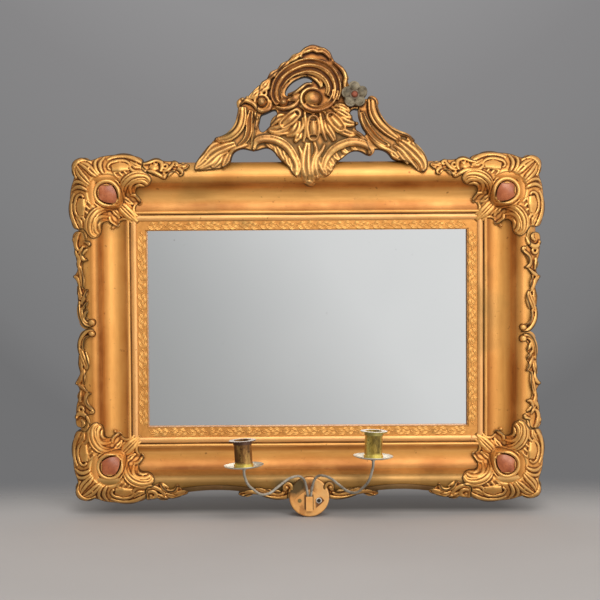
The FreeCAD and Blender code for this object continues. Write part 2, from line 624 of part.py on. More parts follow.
def rosette():
    """Five round petals about a boss."""
    centre = at_height((ROSETTE_X, OUT_Z + ROSETTE_RISE), -ROSETTE_BACK)
    front = V(0, -1, 0)
    flower = Part.makeCylinder(PETAL_RADIUS, ROSETTE_FRONT - ROSETTE_BACK, centre, front)
    for i in range(ROSETTE_PETALS):
        angle = math.radians(90 + 360 * i / ROSETTE_PETALS)
        petal = centre + V(PETAL_REACH * math.cos(angle), 0, PETAL_REACH * math.sin(angle))
        height = ROSETTE_FRONT - ROSETTE_BACK - ROSETTE_BOSS_RISE / 2
        flower = flower.fuse(Part.makeCylinder(PETAL_RADIUS, height, petal, front))
    outline = flower.removeSplitter()
    boss = Part.makeCylinder(ROSETTE_BOSS_RADIUS, ROSETTE_FRONT - ROSETTE_BACK + ROSETTE_BOSS_RISE,
                             centre, front)
    return outline.fuse(boss).removeSplitter()


# ================================================================ foot and branch
ROUNDEL_Y = -ROUNDEL_FRONT
PLATE_Y = ROUNDEL_Y - PLATE_THICKNESS
ROUNDEL_Z = -OUT_Z - ROUNDEL_DROP
KEEPER_X = ROUNDEL_X
KEEPER_MOUTH = ROUNDEL_Z + KEEPER_TOP
KEEPER_FLOOR = KEEPER_MOUTH - KEEPER_HEIGHT
TANG_HALF = 2 * WIRE_RADIUS
WIRE_Y = PLATE_Y - TANG_PLAY - TANG_THICKNESS - WIRE_RADIUS
KEEPER_HALF = TANG_HALF + TANG_PLAY + KEEPER_SHEET
KEEPER_FRONT = WIRE_Y - WIRE_RADIUS - TANG_PLAY - KEEPER_SHEET
TANG_FOOT = KEEPER_FLOOR + KEEPER_SHEET + TANG_REST
PLATE_MIDDLE = (KEEPER_X, ROUNDEL_Z - PLATE_DROP)


def roundel():
    """The turned boss, with its front edge softened."""
    disc = rod((ROUNDEL_X, -ROUNDEL_BACK, ROUNDEL_Z), V(0, -1, 0), ROUNDEL_RADIUS,
               ROUNDEL_FRONT - ROUNDEL_BACK)
    front = [e for e in disc.Edges if abs(e.CenterOfMass.y + ROUNDEL_FRONT) < ROUNDEL_ROUND / 2
             and e.Curve.TypeId == "Part::GeomCircle"]
    return disc.makeFillet(ROUNDEL_ROUND, front)


def bracket_plate():
    """A lozenge with hollow sides, behind the keeper."""
    x, z = PLATE_MIDDLE
    tips = [V(x - PLATE_HALF_WIDTH, ROUNDEL_Y, z), V(x, ROUNDEL_Y, z + PLATE_HALF_HEIGHT),
            V(x + PLATE_HALF_WIDTH, ROUNDEL_Y, z), V(x, ROUNDEL_Y, z - PLATE_HALF_HEIGHT)]
    middle = V(x, ROUNDEL_Y, z)
    edges = []
    for a, b in zip(tips, tips[1:] + tips[:1]):
        bow = middle + ((a + b) * 0.5 - middle) * PLATE_BOW
        edges.append(arc(a, bow, b))
    return prism(section_wire(edges), PLATE_THICKNESS)


def plate_screw_place(sign):
    return (KEEPER_X + sign * PLATE_SCREW_REACH, PLATE_MIDDLE[1])


def plate_screw(sign, seat, growth):
    """A round-headed screw through the plate, its head on the seat."""
    place = plate_screw_place(sign)
    start = V(place[0], seat, place[1])
    shank = Part.makeCylinder(PLATE_SCREW_RADIUS + growth, PLATE_SCREW_LENGTH + growth, start, V(0, 1, 0))
    if growth > 0:
        return shank
    head = Part.makeCylinder(PLATE_SCREW_HEAD_RADIUS, PLATE_SCREW_HEAD, start, V(0, -1, 0))
    return shank.fuse(head).removeSplitter()


def washer():
    place = plate_screw_place(1)
    start = V(place[0], PLATE_Y, place[1])
    disc = Part.makeCylinder(WASHER_RADIUS, WASHER_THICKNESS, start, V(0, -1, 0))
    hole = Part.makeCylinder(PLATE_SCREW_RADIUS + SCREW_CLEARANCE, WASHER_THICKNESS, start, V(0, -1, 0))
    return disc.cut(hole)


def keeper():
    """An open-topped brass box, soldered to the plate, that the tang drops into."""
    outside = box((KEEPER_X - KEEPER_HALF, KEEPER_FRONT, KEEPER_FLOOR),
                  (KEEPER_X + KEEPER_HALF, PLATE_Y, KEEPER_MOUTH))
    inside = box((KEEPER_X - KEEPER_HALF + KEEPER_SHEET, KEEPER_FRONT + KEEPER_SHEET,
                  KEEPER_FLOOR + KEEPER_SHEET),
                 (KEEPER_X + KEEPER_HALF - KEEPER_SHEET, PLATE_Y, KEEPER_MOUTH))
    return outside.cut(inside)


def arm_tang():
    """The flat tang that both wires are soldered to."""
    return box((KEEPER_X - TANG_HALF, WIRE_Y + WIRE_RADIUS, TANG_FOOT),
               (KEEPER_X + TANG_HALF, PLATE_Y - TANG_PLAY, KEEPER_MOUTH + WIRE_RADIUS))


def rounded_path(points):
    """Straight runs joined by tangent arcs, each as large as its two runs allow."""
    edges = []
    here = points[0]
    for before, corner_point, after in zip(points, points[1:], points[2:]):
        back = before - corner_point
        ahead = after - corner_point
        reach = WIRE_BEND * min(back.Length, ahead.Length)
        start = corner_point + back.normalize() * reach
        end = corner_point + ahead.normalize() * reach
        turn = math.pi - back.getAngle(ahead)
        bisector = (back + ahead).normalize()
        radius = reach / math.tan(turn / 2)
        middle = corner_point + bisector * (radius / math.cos(turn / 2) - radius)
        edges.append(line(here, start))
        edges.append(arc(start, middle, end))
        here = end
    edges.append(line(here, points[-1]))
    return Part.Wire(edges)


def tube(path, radius):
    """A round wire along the path."""
    first = path.Edges[0]
    way = first.tangentAt(first.FirstParameter)
    start = first.valueAt(first.FirstParameter)
    ring = Part.Wire([Part.makeCircle(radius, start, way)])
    return path.makePipeShell([ring], True, False)


class Candle:
    """One side's candle place: its foot on the drip pan, and the lean of what stands there."""

    def __init__(self, sign, height, lean, route):
        self.sign = sign
        self.foot = V(sign * PAN_REACH, -PAN_FRONT, ROUNDEL_Z + height)
        self.lean = lean
        self.route = route

    def set_up(self, shape):
        """Moves a shape made upright at the origin to this place."""
        placed = shape.copy()
        placed.rotate(V(0, 0, 0), V(0, 1, 0), self.lean)
        placed.translate(self.foot)
        return placed


CANDLES = {"left": Candle(-1, PAN_HEIGHTS[0], PAN_LEANS[0], LEFT_ROUTE),
           "right": Candle(1, PAN_HEIGHTS[1], PAN_LEANS[1], RIGHT_ROUTE)}


def drip_pan():
    """A dished tin pan with its underside's middle at the origin."""
    hole = TENON_RADIUS + TENON_CLEARANCE
    bend = (PAN_WELL + PAN_RADIUS) / 2
    points = [V(hole, 0, 0), V(PAN_WELL, 0, 0)]
    outer = [V(bend, 0, PAN_RISE * PAN_DISH), V(PAN_RADIUS, 0, PAN_RISE)]
    upper = [p + V(0, 0, PAN_SHEET) for p in outer]
    edges = [line(points[0], points[1]), arc(points[1], outer[0], outer[1]), line(outer[1], upper[1]),
             arc(upper[1], upper[0], points[1] + V(0, 0, PAN_SHEET)),
             line(points[1] + V(0, 0, PAN_SHEET), points[0] + V(0, 0, PAN_SHEET)),
             line(points[0] + V(0, 0, PAN_SHEET), points[0])]
    return section_wire(edges).revolve(V(0, 0, 0), V(0, 0, 1), 360)


def candle_cup():
    """A straight brass cup with a band at its foot."""
    foot = PAN_SHEET
    wall = Part.makeCylinder(CUP_RADIUS, CUP_HEIGHT, V(0, 0, foot))
    band = Part.makeCylinder(CUP_FOOT_RADIUS, CUP_FOOT_HEIGHT, V(0, 0, foot))
    inside = Part.makeCylinder(CUP_RADIUS - CUP_WALL, CUP_HEIGHT, V(0, 0, foot + CUP_WALL))
    hole = Part.makeCylinder(TENON_RADIUS + TENON_CLEARANCE, 2 * CUP_WALL, V(0, 0, foot - CUP_WALL / 2))
    return wall.fuse(band).removeSplitter().cut(inside).cut(hole)


def cup_rim():
    """A flat flange with a short collar, pushed over the cup's mouth."""
    top = PAN_SHEET + CUP_HEIGHT
    hole = CUP_RADIUS + RIM_CLEARANCE
    flange = Part.makeCylinder(CUP_RIM_RADIUS, CUP_RIM_SHEET, V(0, 0, top - CUP_RIM_SHEET))
    collar = Part.makeCylinder(hole + CUP_WALL, CUP_RIM_COLLAR, V(0, 0, top - CUP_RIM_COLLAR))
    opening = Part.makeCylinder(hole, CUP_RIM_COLLAR, V(0, 0, top - CUP_RIM_COLLAR))
    return flange.fuse(collar).removeSplitter().cut(opening)


def arm_end():
    """The ferrule under the pan, and the tenon that ends flush with the cup's floor."""
    ferrule = Part.makeCylinder(FERRULE_RADIUS, FERRULE_LENGTH, V(0, 0, -FERRULE_LENGTH))
    tenon = Part.makeCylinder(TENON_RADIUS, PAN_SHEET + CUP_WALL, V(0, 0, 0))
    return ferrule.fuse(tenon)


def candle_arm(candle):
    """One wire: up out of the keeper, over, down and up again to its pan."""
    start = V(KEEPER_X + candle.sign * (WIRE_RADIUS + WIRE_SOLDER), WIRE_Y, 0)
    end = V(candle.foot.x, candle.foot.y, 0)
    along = end - start
    reach = candle.route[-1][0]
    points = [V(start.x, start.y, TANG_FOOT)]
    for distance, height in candle.route:
        here = start + along * (distance / reach)
        points.append(V(here.x, here.y, ROUNDEL_Z + height))
    points.append(candle.foot - V(0, 0, FERRULE_LENGTH - FERRULE_GRIP))
    wire = tube(rounded_path(points), WIRE_RADIUS)
    return wire.fuse(candle.set_up(arm_end())).removeSplitter()


# ================================================================ hanger
STRAP_BACK = FRAME_BACK + STRAP_SHEET
EYE_RADIUS = HANGER_WIRE + HANGER_CLEARANCE
PIVOT_Y = FRAME_BACK + STRAP_SHEET + HANGER_CLEARANCE + EYE_RADIUS
PIVOT_Z = OUT_Z - PIVOT_INSET
STRAP_FOOT = PIVOT_Z - STRAP_LENGTH
HANGER_SCREW_HEIGHTS = [STRAP_FOOT + rise for rise in HANGER_SCREW_RISES]


def hanger_screw(height, growth):
    """A round-headed screw through the strap into the top rail."""
    start = V(0, STRAP_BACK, height)
    shank = Part.makeCylinder(HANGER_SCREW_RADIUS + growth, HANGER_SCREW_LENGTH + growth, start, V(0, -1, 0))
    if growth > 0:
        return shank
    head = Part.makeCylinder(HANGER_SCREW_HEAD_RADIUS, HANGER_SCREW_HEAD, start, V(0, 1, 0))
    return shank.fuse(head).removeSplitter()


def hanger_strap():
    """A strap folded round the ring's bar and screwed to the top rail's back."""
    half = STRAP_WIDTH / 2
    plate = box((-half, FRAME_BACK, STRAP_FOOT), (half, STRAP_BACK, PIVOT_Z))
    eye = rod((-half, PIVOT_Y, PIVOT_Z), V(1, 0, 0), PIVOT_Y - FRAME_BACK, STRAP_WIDTH)
    hole = rod((-half, PIVOT_Y, PIVOT_Z), V(1, 0, 0), EYE_RADIUS, STRAP_WIDTH)
    strap = plate.fuse(eye).cut(hole)
    for height in HANGER_SCREW_HEIGHTS:
        strap = strap.cut(hanger_screw(height, SCREW_CLEARANCE).translated(V(0, STRAP_SHEET, 0)))
    return only_solid(strap.removeSplitter())


def hanger_ring():
    """The ring as it hangs: a straight bar in the eye, two sides and a half-round bow."""
    half = HANGER_BAR / 2
    bend = HANGER_BEND
    top = PIVOT_Z
    low = top - bend - HANGER_DROP

    def on_ring(x, z):
        return V(x, PIVOT_Y, z)

    corner_share = bend * (1 - math.sqrt(0.5))
    side = half + bend
    slant = side * math.sqrt(0.5)
    shoulder = on_ring(side - corner_share, top - corner_share)
    edges = [line(on_ring(0, top), on_ring(half, top)),
             arc(on_ring(half, top), shoulder, on_ring(side, top - bend)),
             line(on_ring(side, top - bend), on_ring(side, low)),
             arc(on_ring(side, low), on_ring(slant, low - slant), on_ring(0, low - side))]
    right = tube(Part.Wire(edges), HANGER_WIRE)
    return right.fuse(right.mirror(V(0, 0, 0), V(1, 0, 0))).removeSplitter()


# ================================================================ build
def build():
    parts = {}
    section = rail_section()
    rails = {side: run(section, side, 0) for side in SIDES}
    for sign in (-1, 1):
        rails["bottom"] = rails["bottom"].cut(arch_prism(sign, 0))
    rails["left"] = rails["left"].cut(notch_prism(-1, NOTCH_LEFT))
    rails["right"] = rails["right"].cut(notch_prism(1, NOTCH_RIGHT))
    whole_rails = dict(rails)

    # Carving first: everything carved is cut from the space in front of the rails.
    carving = carving_section(CARVING_RELIEF)
    strips = {side: run(strip_section(), side, 0) for side in SIDES}
    skins = {side: run(carving, side, CARVING_LAP).cut(rails[side]).cut(strips[side]) for side in SIDES}

    def carve(outline, side):
        return prism(smooth_face(outline, DEEP / 2), DEEP).common(skins[side])

    turn_over = V(0, 0, 0)
    blank = prism(smooth_face(corner_outline(), DEEP / 2), DEEP)
    leaf = blank.common(skins["top"]).fuse(blank.common(skins["left"]))
    ring_foot = (-OUT_X + RING_INSET, FRAME_BACK - COVE_LOW_HEIGHT + CARVING_SINK,
                 OUT_Z - RING_INSET)
    ring = rod(ring_foot, V(0, -1, 0), RING_RADIUS, RING_HEIGHT - COVE_LOW_HEIGHT + CARVING_SINK)
    ring = ring.cut(rails["top"]).cut(rails["left"])
    drop = cabochon(0)
    corner_piece = only_solid(leaf.fuse(ring).removeSplitter().cut(cabochon(SCREW_CLEARANCE)))
    for name, (sign_x, sign_z) in CORNERS.items():
        ornament = corner_piece
        stone = drop
        if sign_x > 0:
            ornament = ornament.mirror(turn_over, V(1, 0, 0))
            stone = stone.mirror(turn_over, V(1, 0, 0))
        if sign_z < 0:
            ornament = ornament.mirror(turn_over, V(0, 0, 1))
            stone = stone.mirror(turn_over, V(0, 0, 1))
        parts["corner_ornament_" + name] = ornament
        parts["cabochon_" + name] = stone

    # The right side's trails are the left side's, turned half round about the nicks.
    long_trail = carve(moved(SIDE_TRAIL_LONG, -OUT_X, 0), "left")
    short_trail = carve(moved(SIDE_TRAIL_SHORT, -OUT_X, 0), "left").cut(long_trail)
    trails = {"left_upper": (long_trail, "top_left"), "left_lower": (short_trail, "bottom_left")}
    for name, trail, near in (("right_lower", long_trail, "bottom_right"),
                              ("right_upper", short_trail, "top_right")):
        turned = trail.copy()
        turned.rotate(V(0, 0, 0), V(0, 1, 0), 180)
        turned.translate(V(0, 0, NOTCH_LEFT + NOTCH_RIGHT))
        trails[name] = (turned, near)
    for name, (trail, near) in trails.items():
        parts["edge_trail_" + name] = only_solid(trail.cut(parts["corner_ornament_" + near]))

    top_trail = carve(moved(TOP_TRAIL, -OUT_X, OUT_Z), "top")
    right_top = top_trail.mirror(turn_over, V(1, 0, 0)).translated(V(TOP_TRAIL_SHIFT, 0, 0))
    parts["edge_trail_top_left"] = only_solid(top_trail.cut(parts["corner_ornament_top_left"]))
    parts["edge_trail_top_right"] = only_solid(right_top.cut(parts["corner_ornament_top_right"]))
    bottom_trail = carve(moved(BOTTOM_TRAIL, -OUT_X, -OUT_Z), "bottom")
    left_bottom = only_solid(bottom_trail.cut(parts["corner_ornament_bottom_left"]))
    parts["edge_trail_bottom_left"] = left_bottom
    parts["edge_trail_bottom_right"] = left_bottom.mirror(turn_over, V(1, 0, 0))

    # Foot boss, its scrolls and the bead along each sawn arch.
    boss = roundel()
    apron = moved(APRON, 0, -OUT_Z)
    scroll = only_solid(carve(apron, "bottom").cut(boss))
    left_scroll = only_solid(carve([(-x, z) for x, z in apron], "bottom").cut(boss))
    bead_skin = run(carving_section(EDGE_BEAD_RELIEF), "bottom", CARVING_LAP).cut(rails["bottom"])
    for name, sign, beside in (("left", -1, left_scroll), ("right", 1, scroll)):
        strip = arch_prism(sign, EDGE_BEAD_WIDTH).cut(arch_prism(sign, 0)).common(bead_skin)
        strip = strip.cut(beside).cut(parts["edge_trail_bottom_" + name])
        strip = strip.cut(parts["corner_ornament_bottom_" + name]).cut(boss)
        parts["edge_bead_" + name] = only_solid(strip)
        parts["apron_scroll_" + name] = beside

    # Crest.
    carved = prism(smooth_face(moved(CREST, 0, OUT_Z), DEEP / 2), DEEP)
    for hole in CREST_HOLES:
        carved = carved.cut(prism(smooth_face(moved(hole, 0, OUT_Z), DEEP / 2), DEEP))
    slab = crest_section()
    slab.translate(V(-OUT_X, 0, 0))
    carved = carved.common(slab.extrude(V(2 * OUT_X, 0, 0))).cut(rails["top"])
    flower = rosette()
    carved = carved.cut(flower)
    left_side = side_of(moved(LEFT_LEG_JOINT, 0, OUT_Z), -1)
    right_side = side_of(moved(RIGHT_LEG_JOINT, 0, OUT_Z), 1)
    parts["crest_leg_left"] = only_solid(carved.common(left_side))
    parts["crest_leg_right"] = only_solid(carved.common(right_side))
    crest_centre = only_solid(carved.cut(left_side).cut(right_side))
    parts["crest_rosette"] = flower

    # Back of the crest.
    holes = group(batten_screws(SCREW_CLEARANCE))
    for name, x in zip(("left", "right"), BATTEN_CENTRES):
        low = x - BATTEN_WIDTH / 2
        high = x + BATTEN_WIDTH / 2
        foot = box((low, FRAME_BACK, OUT_Z - BATTEN_FOOT), (high, 0, OUT_Z))
        head = box((low, -CREST_BACK, OUT_Z), (high, 0, OUT_Z + BATTEN_HEAD))
        parts["crest_batten_" + name] = foot.fuse(head).removeSplitter().cut(holes)
    parts["crest_screws"] = group(batten_screws(0))
    parts["crest_centre"] = crest_centre.cut(holes)

    # Glass, blocks, boards and nails.
    glass_x = REBATE_X - GLASS_PLAY
    glass_z = REBATE_Z - GLASS_PLAY
    parts["mirror_glass"] = box((-glass_x, GLASS_BACK - GLASS_THICKNESS, -glass_z),
                                (glass_x, GLASS_BACK, glass_z))
    parts["glazing_blocks"] = group(glazing_blocks())
    nail_holes = group([nail(place, SCREW_CLEARANCE) for place in nail_places()])
    edges = board_edges()
    for name, top, foot in zip(("top", "middle", "bottom"), edges, edges[1:]):
        gap = BOARD_JOINT / 2
        board = box((-BOARD_X, FRAME_BACK, foot + gap), (BOARD_X, 0, top - gap))
        parts["backboard_" + name] = board.cut(nail_holes)
    parts["backboard_nails"] = group([nail(place, 0) for place in nail_places()])

    keys = {name: mitre_key(*signs) for name, signs in CORNERS.items()}
    parts["mitre_keys"] = group(list(keys.values()))
    key_group = group(list(keys.values()))

    # Foot bracket and the branch.
    plate_holes = [plate_screw(sign, ROUNDEL_Y - PLATE_THICKNESS, SCREW_CLEARANCE) for sign in (-1, 1)]
    parts["bracket_plate"] = bracket_plate().cut(group(plate_holes))
    parts["bracket_screw_left"] = plate_screw(-1, PLATE_Y, 0)
    parts["bracket_screw_right"] = plate_screw(1, PLATE_Y - WASHER_THICKNESS, 0)
    parts["bracket_washer"] = washer()
    parts["arm_keeper"] = keeper()
    parts["arm_tang"] = arm_tang()
    for name, candle in CANDLES.items():
        parts["candle_arm_" + name] = candle_arm(candle)
        parts["drip_pan_" + name] = candle.set_up(drip_pan())
        parts["candle_cup_" + name] = candle.set_up(candle_cup())
        parts["cup_rim_" + name] = candle.set_up(cup_rim())

    # Hanger.
    parts["hanger_strap"] = hanger_strap()
    parts["hanger_ring"] = hanger_ring()
    parts["hanger_screws"] = group([hanger_screw(height, 0) for height in HANGER_SCREW_HEIGHTS])

    # Rails take the holes of what enters them, and the roundel is housed over the bottom one.
    hanger_holes = group([hanger_screw(height, SCREW_CLEARANCE) for height in HANGER_SCREW_HEIGHTS])
    parts["roundel"] = only_solid(boss.cut(whole_rails["bottom"]).cut(group(plate_holes)))
    for side in SIDES:
        rail = whole_rails[side].cut(nail_holes).cut(key_group)
        if side == "top":
            rail = rail.cut(holes).cut(hanger_holes)
        if side == "bottom":
            rail = rail.cut(group(plate_holes))
        parts[side + "_rail"] = only_solid(rail)
    for side in SIDES:
        parts["sight_strip_" + side] = strips[side]
    return parts


for node, shape in build().items():
    print(node, len(shape.Solids), shape.isValid(), round(shape.Volume, 1),
          [round(v) for v in (shape.BoundBox.XMin, shape.BoundBox.XMax, shape.BoundBox.YMin,
                              shape.BoundBox.YMax, shape.BoundBox.ZMin, shape.BoundBox.ZMax)])
    save(shape, node)
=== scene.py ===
# %% [markdown]
# # A gilt girandole mirror
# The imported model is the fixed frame: rails, glass, boards, brackets and wires are already at
# their size and place. This file gives every piece its finish, and carves the gilt ornament over
# the plain raised shapes that the model keeps for it.

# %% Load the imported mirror
import math
import bmesh
import bpy
import numpy as np
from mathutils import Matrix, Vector, bvhtree, kdtree


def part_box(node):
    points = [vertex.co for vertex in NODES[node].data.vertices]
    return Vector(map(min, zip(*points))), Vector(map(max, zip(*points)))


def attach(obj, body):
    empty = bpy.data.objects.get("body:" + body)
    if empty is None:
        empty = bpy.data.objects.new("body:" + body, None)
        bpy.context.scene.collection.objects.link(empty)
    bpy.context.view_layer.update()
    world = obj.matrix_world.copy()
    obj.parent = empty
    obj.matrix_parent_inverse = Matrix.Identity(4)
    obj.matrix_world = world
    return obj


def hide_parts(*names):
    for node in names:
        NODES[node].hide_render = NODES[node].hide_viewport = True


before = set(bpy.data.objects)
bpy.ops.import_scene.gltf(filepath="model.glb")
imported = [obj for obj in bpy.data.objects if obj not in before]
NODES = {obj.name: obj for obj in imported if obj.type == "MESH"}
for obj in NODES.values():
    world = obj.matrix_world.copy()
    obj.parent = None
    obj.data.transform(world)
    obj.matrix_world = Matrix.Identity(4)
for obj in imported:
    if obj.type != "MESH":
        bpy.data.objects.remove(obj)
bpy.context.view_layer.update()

MM = 0.001


def pick(*pieces):
    """Selects these pieces and nothing else."""
    bpy.ops.object.select_all(action="DESELECT")
    for piece in pieces:
        piece.select_set(True)
    if pieces:
        bpy.context.view_layer.objects.active = pieces[0]


# %% [markdown]
# ## The camera
# The photo was taken with a long lens from a little above the middle of the glass, so the
# verticals stay straight. The camera is turned down slightly, and rolled by less than a degree,
# because the frame stands a touch crooked in the picture.

# %% Set up the camera
LENS = 90.2
CAMERA_PLACE = (-0.009, -2.0, 0.1187)
CAMERA_DOWN = math.radians(2.365)
CAMERA_ROLL = math.radians(0.36)

pick()
bpy.ops.object.camera_add(location=CAMERA_PLACE,
                          rotation=(math.pi / 2 - CAMERA_DOWN, CAMERA_ROLL, 0))
camera = bpy.context.object
camera.name = "photo_camera"
camera.data.lens = LENS
bpy.context.scene.camera = camera
bpy.context.scene.view_settings.view_transform = "Standard"
print("camera set at", tuple(camera.location))

# %% [markdown]
# ## Shader shorthand
# A finish is a small network of shader nodes. These helpers add one node at a time, and join or
# set its sockets, so that each finish below reads as a short recipe. Most layers are laid with
# cover: a colour over the tone so far, as thick as a ramp of some measure says.

# %% Helpers for building a finish
SHADOW_END = 0.04045     # below this, a screen's values are linear


def rgb(red, green, blue):
    """A colour as a screen shows it, turned into the linear values that shaders use."""
    shares = [value / 255 for value in (red, green, blue)]
    linear = [share / 12.92 if share <= SHADOW_END else ((share + 0.055) / 1.055) ** 2.4
              for share in shares]
    return (*linear, 1.0)


def shade(*values):
    """The colour at a ramp's stop: a grey level, a colour by name, or red, green and blue."""
    if len(values) == 3:
        return rgb(*values)
    return values[0] if isinstance(values[0], tuple) else (*values * 3, 1.0)


class Network:
    """A network of shader nodes, and the ways to add to it."""

    def __init__(self, owner, coordinates):
        self.tree = owner.node_tree
        self.place = self.add("TexCoord").outputs[coordinates]

    def set(self, socket, value):
        if isinstance(value, bpy.types.NodeSocket):
            self.tree.links.new(value, socket)
        else:
            socket.default_value = value

    def add(self, kind, **sockets):
        node = self.tree.nodes.new("ShaderNode" + kind)
        for name, value in sockets.items():
            self.set(node.inputs[name], value)
        return node

    def fill(self, node, values):
        """Gives a node's first sockets their values, in order."""
        for socket, value in zip(node.inputs, values):
            self.set(socket, value)
        return node.outputs[0]

    def sum(self, operation, first, second=0.0, third=0.0):
        node = self.add("Math")
        node.operation = operation
        return self.fill(node, (first, second, third))

    def vector(self, operation, first, second=(0, 0, 0), output="Value"):
        node = self.add("VectorMath")
        node.operation = operation
        self.fill(node, (first, second))
        return node.outputs[output]

    def ramp(self, factor, stops, smooth=False):
        node = self.add("ValToRGB", Fac=factor)
        ramp = node.color_ramp
        ramp.interpolation = "EASE" if smooth else "LINEAR"
        while len(ramp.elements) < len(stops):
            ramp.elements.new(1.0)
        for element, (position, *values) in zip(ramp.elements, stops):
            element.position = position
            element.color = shade(*values)
        return node.outputs["Color"]

    def noise(self, scale, detail=3.0, roughness=0.55, vector=None, distortion=0.0):
        node = self.add("TexNoise", Vector=vector or self.place, Scale=scale, Detail=detail,
                        Roughness=roughness, Distortion=distortion)
        return node.outputs["Fac"]

    def stretch(self, x, y, z, vector=None):
        node = self.add("Mapping", Vector=vector or self.place, Scale=(x, y, z))
        return node.outputs["Vector"]

    def along(self, axis):
        """How far a point lies along one axis."""
        return self.add("SeparateXYZ", Vector=self.place).outputs[axis]

    def facing(self, x, y, z):
        """How squarely the surface faces this way, up to 1."""
        return self.vector("DOT_PRODUCT", self.add("NewGeometry").outputs["Normal"], (x, y, z))

    def away_from(self, x, z, squash=1.0):
        """How far a point lies from a spot on the front, which is given in mm."""
        return self.vector("DISTANCE", self.stretch(1.0, 0.0, squash),
                           (x * MM, 0, squash * z * MM))

    def ragged(self, value, scale, size):
        """A measure whose edge is torn by fine noise."""
        return self.sum("MULTIPLY_ADD", self.noise(scale, 3.0, 0.6), size, value)

    def blend(self, factor, under, over):
        node = self.tree.nodes.new("ShaderNodeMix")
        node.data_type = "RGBA"
        for socket, value in (("Factor", factor), (6, under), (7, over)):
            self.set(node.inputs[socket], value)
        return node.outputs[2]

    def cover(self, tone, colour, value, *stops):
        """Lays a colour over the tone, as thickly as the ramp of a value says."""
        return self.blend(self.ramp(value, stops), tone, colour)


class Recipe(Network):
    """One material, and the nodes that are added to it."""

    def __init__(self, name):
        self.material = bpy.data.materials.new(name)
        self.material.use_nodes = True
        super().__init__(self.material, "Object")
        self.surface = self.tree.nodes["Principled BSDF"]

    def attribute(self, name):
        node = self.add("Attribute")
        node.attribute_name = name
        return node.outputs["Fac"]

    def finish(self, colour, roughness, metallic=0.0, height=None, bump=0.3, depth=0.001, **more):
        sockets = {"Base Color": colour, "Roughness": roughness, "Metallic": metallic, **more}
        if height is not None:
            relief = self.add("Bump", Strength=bump, Distance=depth, Height=height)
            sockets["Normal"] = relief.outputs["Normal"]
        for name, value in sockets.items():
            self.set(self.surface.inputs[name], value)
        return self.material


def clad(piece, material):
    piece.data.materials.clear()
    piece.data.materials.append(material)


def dress(material, *names):
    """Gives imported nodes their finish."""
    for name in names:
        clad(NODES[name], material)


print("a screen's middle grey is", round(rgb(128, 128, 128)[0], 3), "to the shaders")

# %% [markdown]
# ## Old water gilding on the rails
# The rails are gessoed wood, covered with red-brown bole and leaf gold. Dirt has settled in the
# quirks beside the bead. The distance in from the frame's outer edge says which part of the
# moulding a point is on, so that distance picks the tone. The tones hold painted highlight and
# shade as well as the gilding's colour. The crown of the hump is pale, partly from rubbing and
# partly as painted highlight. The steep side of the cove is brown. The top, side and bottom
# rails each have their own tones because each faced the light differently. The streaks run
# with each rail.

# %% Mix the gilding for the moulded rails
OUT_X = 299.0
OUT_Z = 218.0
GOLD_LIGHT = rgb(252, 188, 104)
GOLD = rgb(240, 172, 86)
GOLD_DEEP = rgb(206, 136, 60)
GOLD_LOW = rgb(180, 112, 48)
BROWN = rgb(150, 88, 32)
DARK = rgb(74, 38, 10)
PINK_GOLD = rgb(252, 188, 118)
BOLE = rgb(168, 88, 44)
GREEN_STAIN = rgb(140, 112, 56)
OLD_WOOD = [(0.34, 104, 74, 46), (0.5, 138, 104, 66), (0.66, 164, 128, 86)]
GILT_METAL = 0.42

# Each tone stands at its distance in from the outer edge, in mm. The pale and dark tones are partly
# painted highlight and shade, so each rail direction has its own table.
OUTER_TONES_AND_SHADING = [(0.0, GOLD_DEEP), (6.0, GOLD), (10.5, GOLD_LIGHT), (14.0, GOLD), (19.0, GOLD_DEEP),
               (24.0, GOLD_DEEP), (28.0, BROWN), (31.0, BROWN)]
SIDE_TONES_AND_SHADING = OUTER_TONES_AND_SHADING + [(35.5, GOLD_DEEP), (40.0, GOLD), (50.0, GOLD), (58.5, GOLD_DEEP),
                            (62.8, BROWN)]
TOP_TONES_AND_SHADING = OUTER_TONES_AND_SHADING + [(35.0, GOLD_DEEP), (40.0, GOLD_LIGHT), (48.0, GOLD_LIGHT),
                           (52.0, GOLD_DEEP), (56.0, GOLD_LOW), (60.0, GOLD_LOW), (62.8, BROWN)]
BOTTOM_TONES_AND_SHADING = [(0.0, GOLD_LIGHT), (8.0, GOLD), (13.0, GOLD_DEEP), (24.0, GOLD_LOW), (28.0, BROWN),
                (36.0, BROWN), (39.0, GOLD_LOW), (47.0, GOLD_DEEP), (52.0, GOLD),
                (56.0, GOLD_LIGHT), (58.5, GOLD_DEEP), (62.8, BROWN)]
QUIRK_TONES = [(63.4, GOLD_LIGHT), (66.8, GOLD_LIGHT), (67.2, DARK), (68.8, DARK),
               (69.4, PINK_GOLD), (75.4, PINK_GOLD), (76.2, BROWN), (77.5, GOLD),
               (89.0, GOLD_DEEP)]
RAIL_SPAN = 90.0
RAIL_WANDER = 0.0026             # how far the tones stray across the rail, in metres
STAINED_SPAN = (26.0, 36.0)      # the bottom rail's stain is full up to here, and ends here
MOULD_SPOT = (-26.0, -204.0)     # a dark green patch above the left foot scroll
MOULD_REACH = 26.0
MOULD = rgb(84, 78, 46)


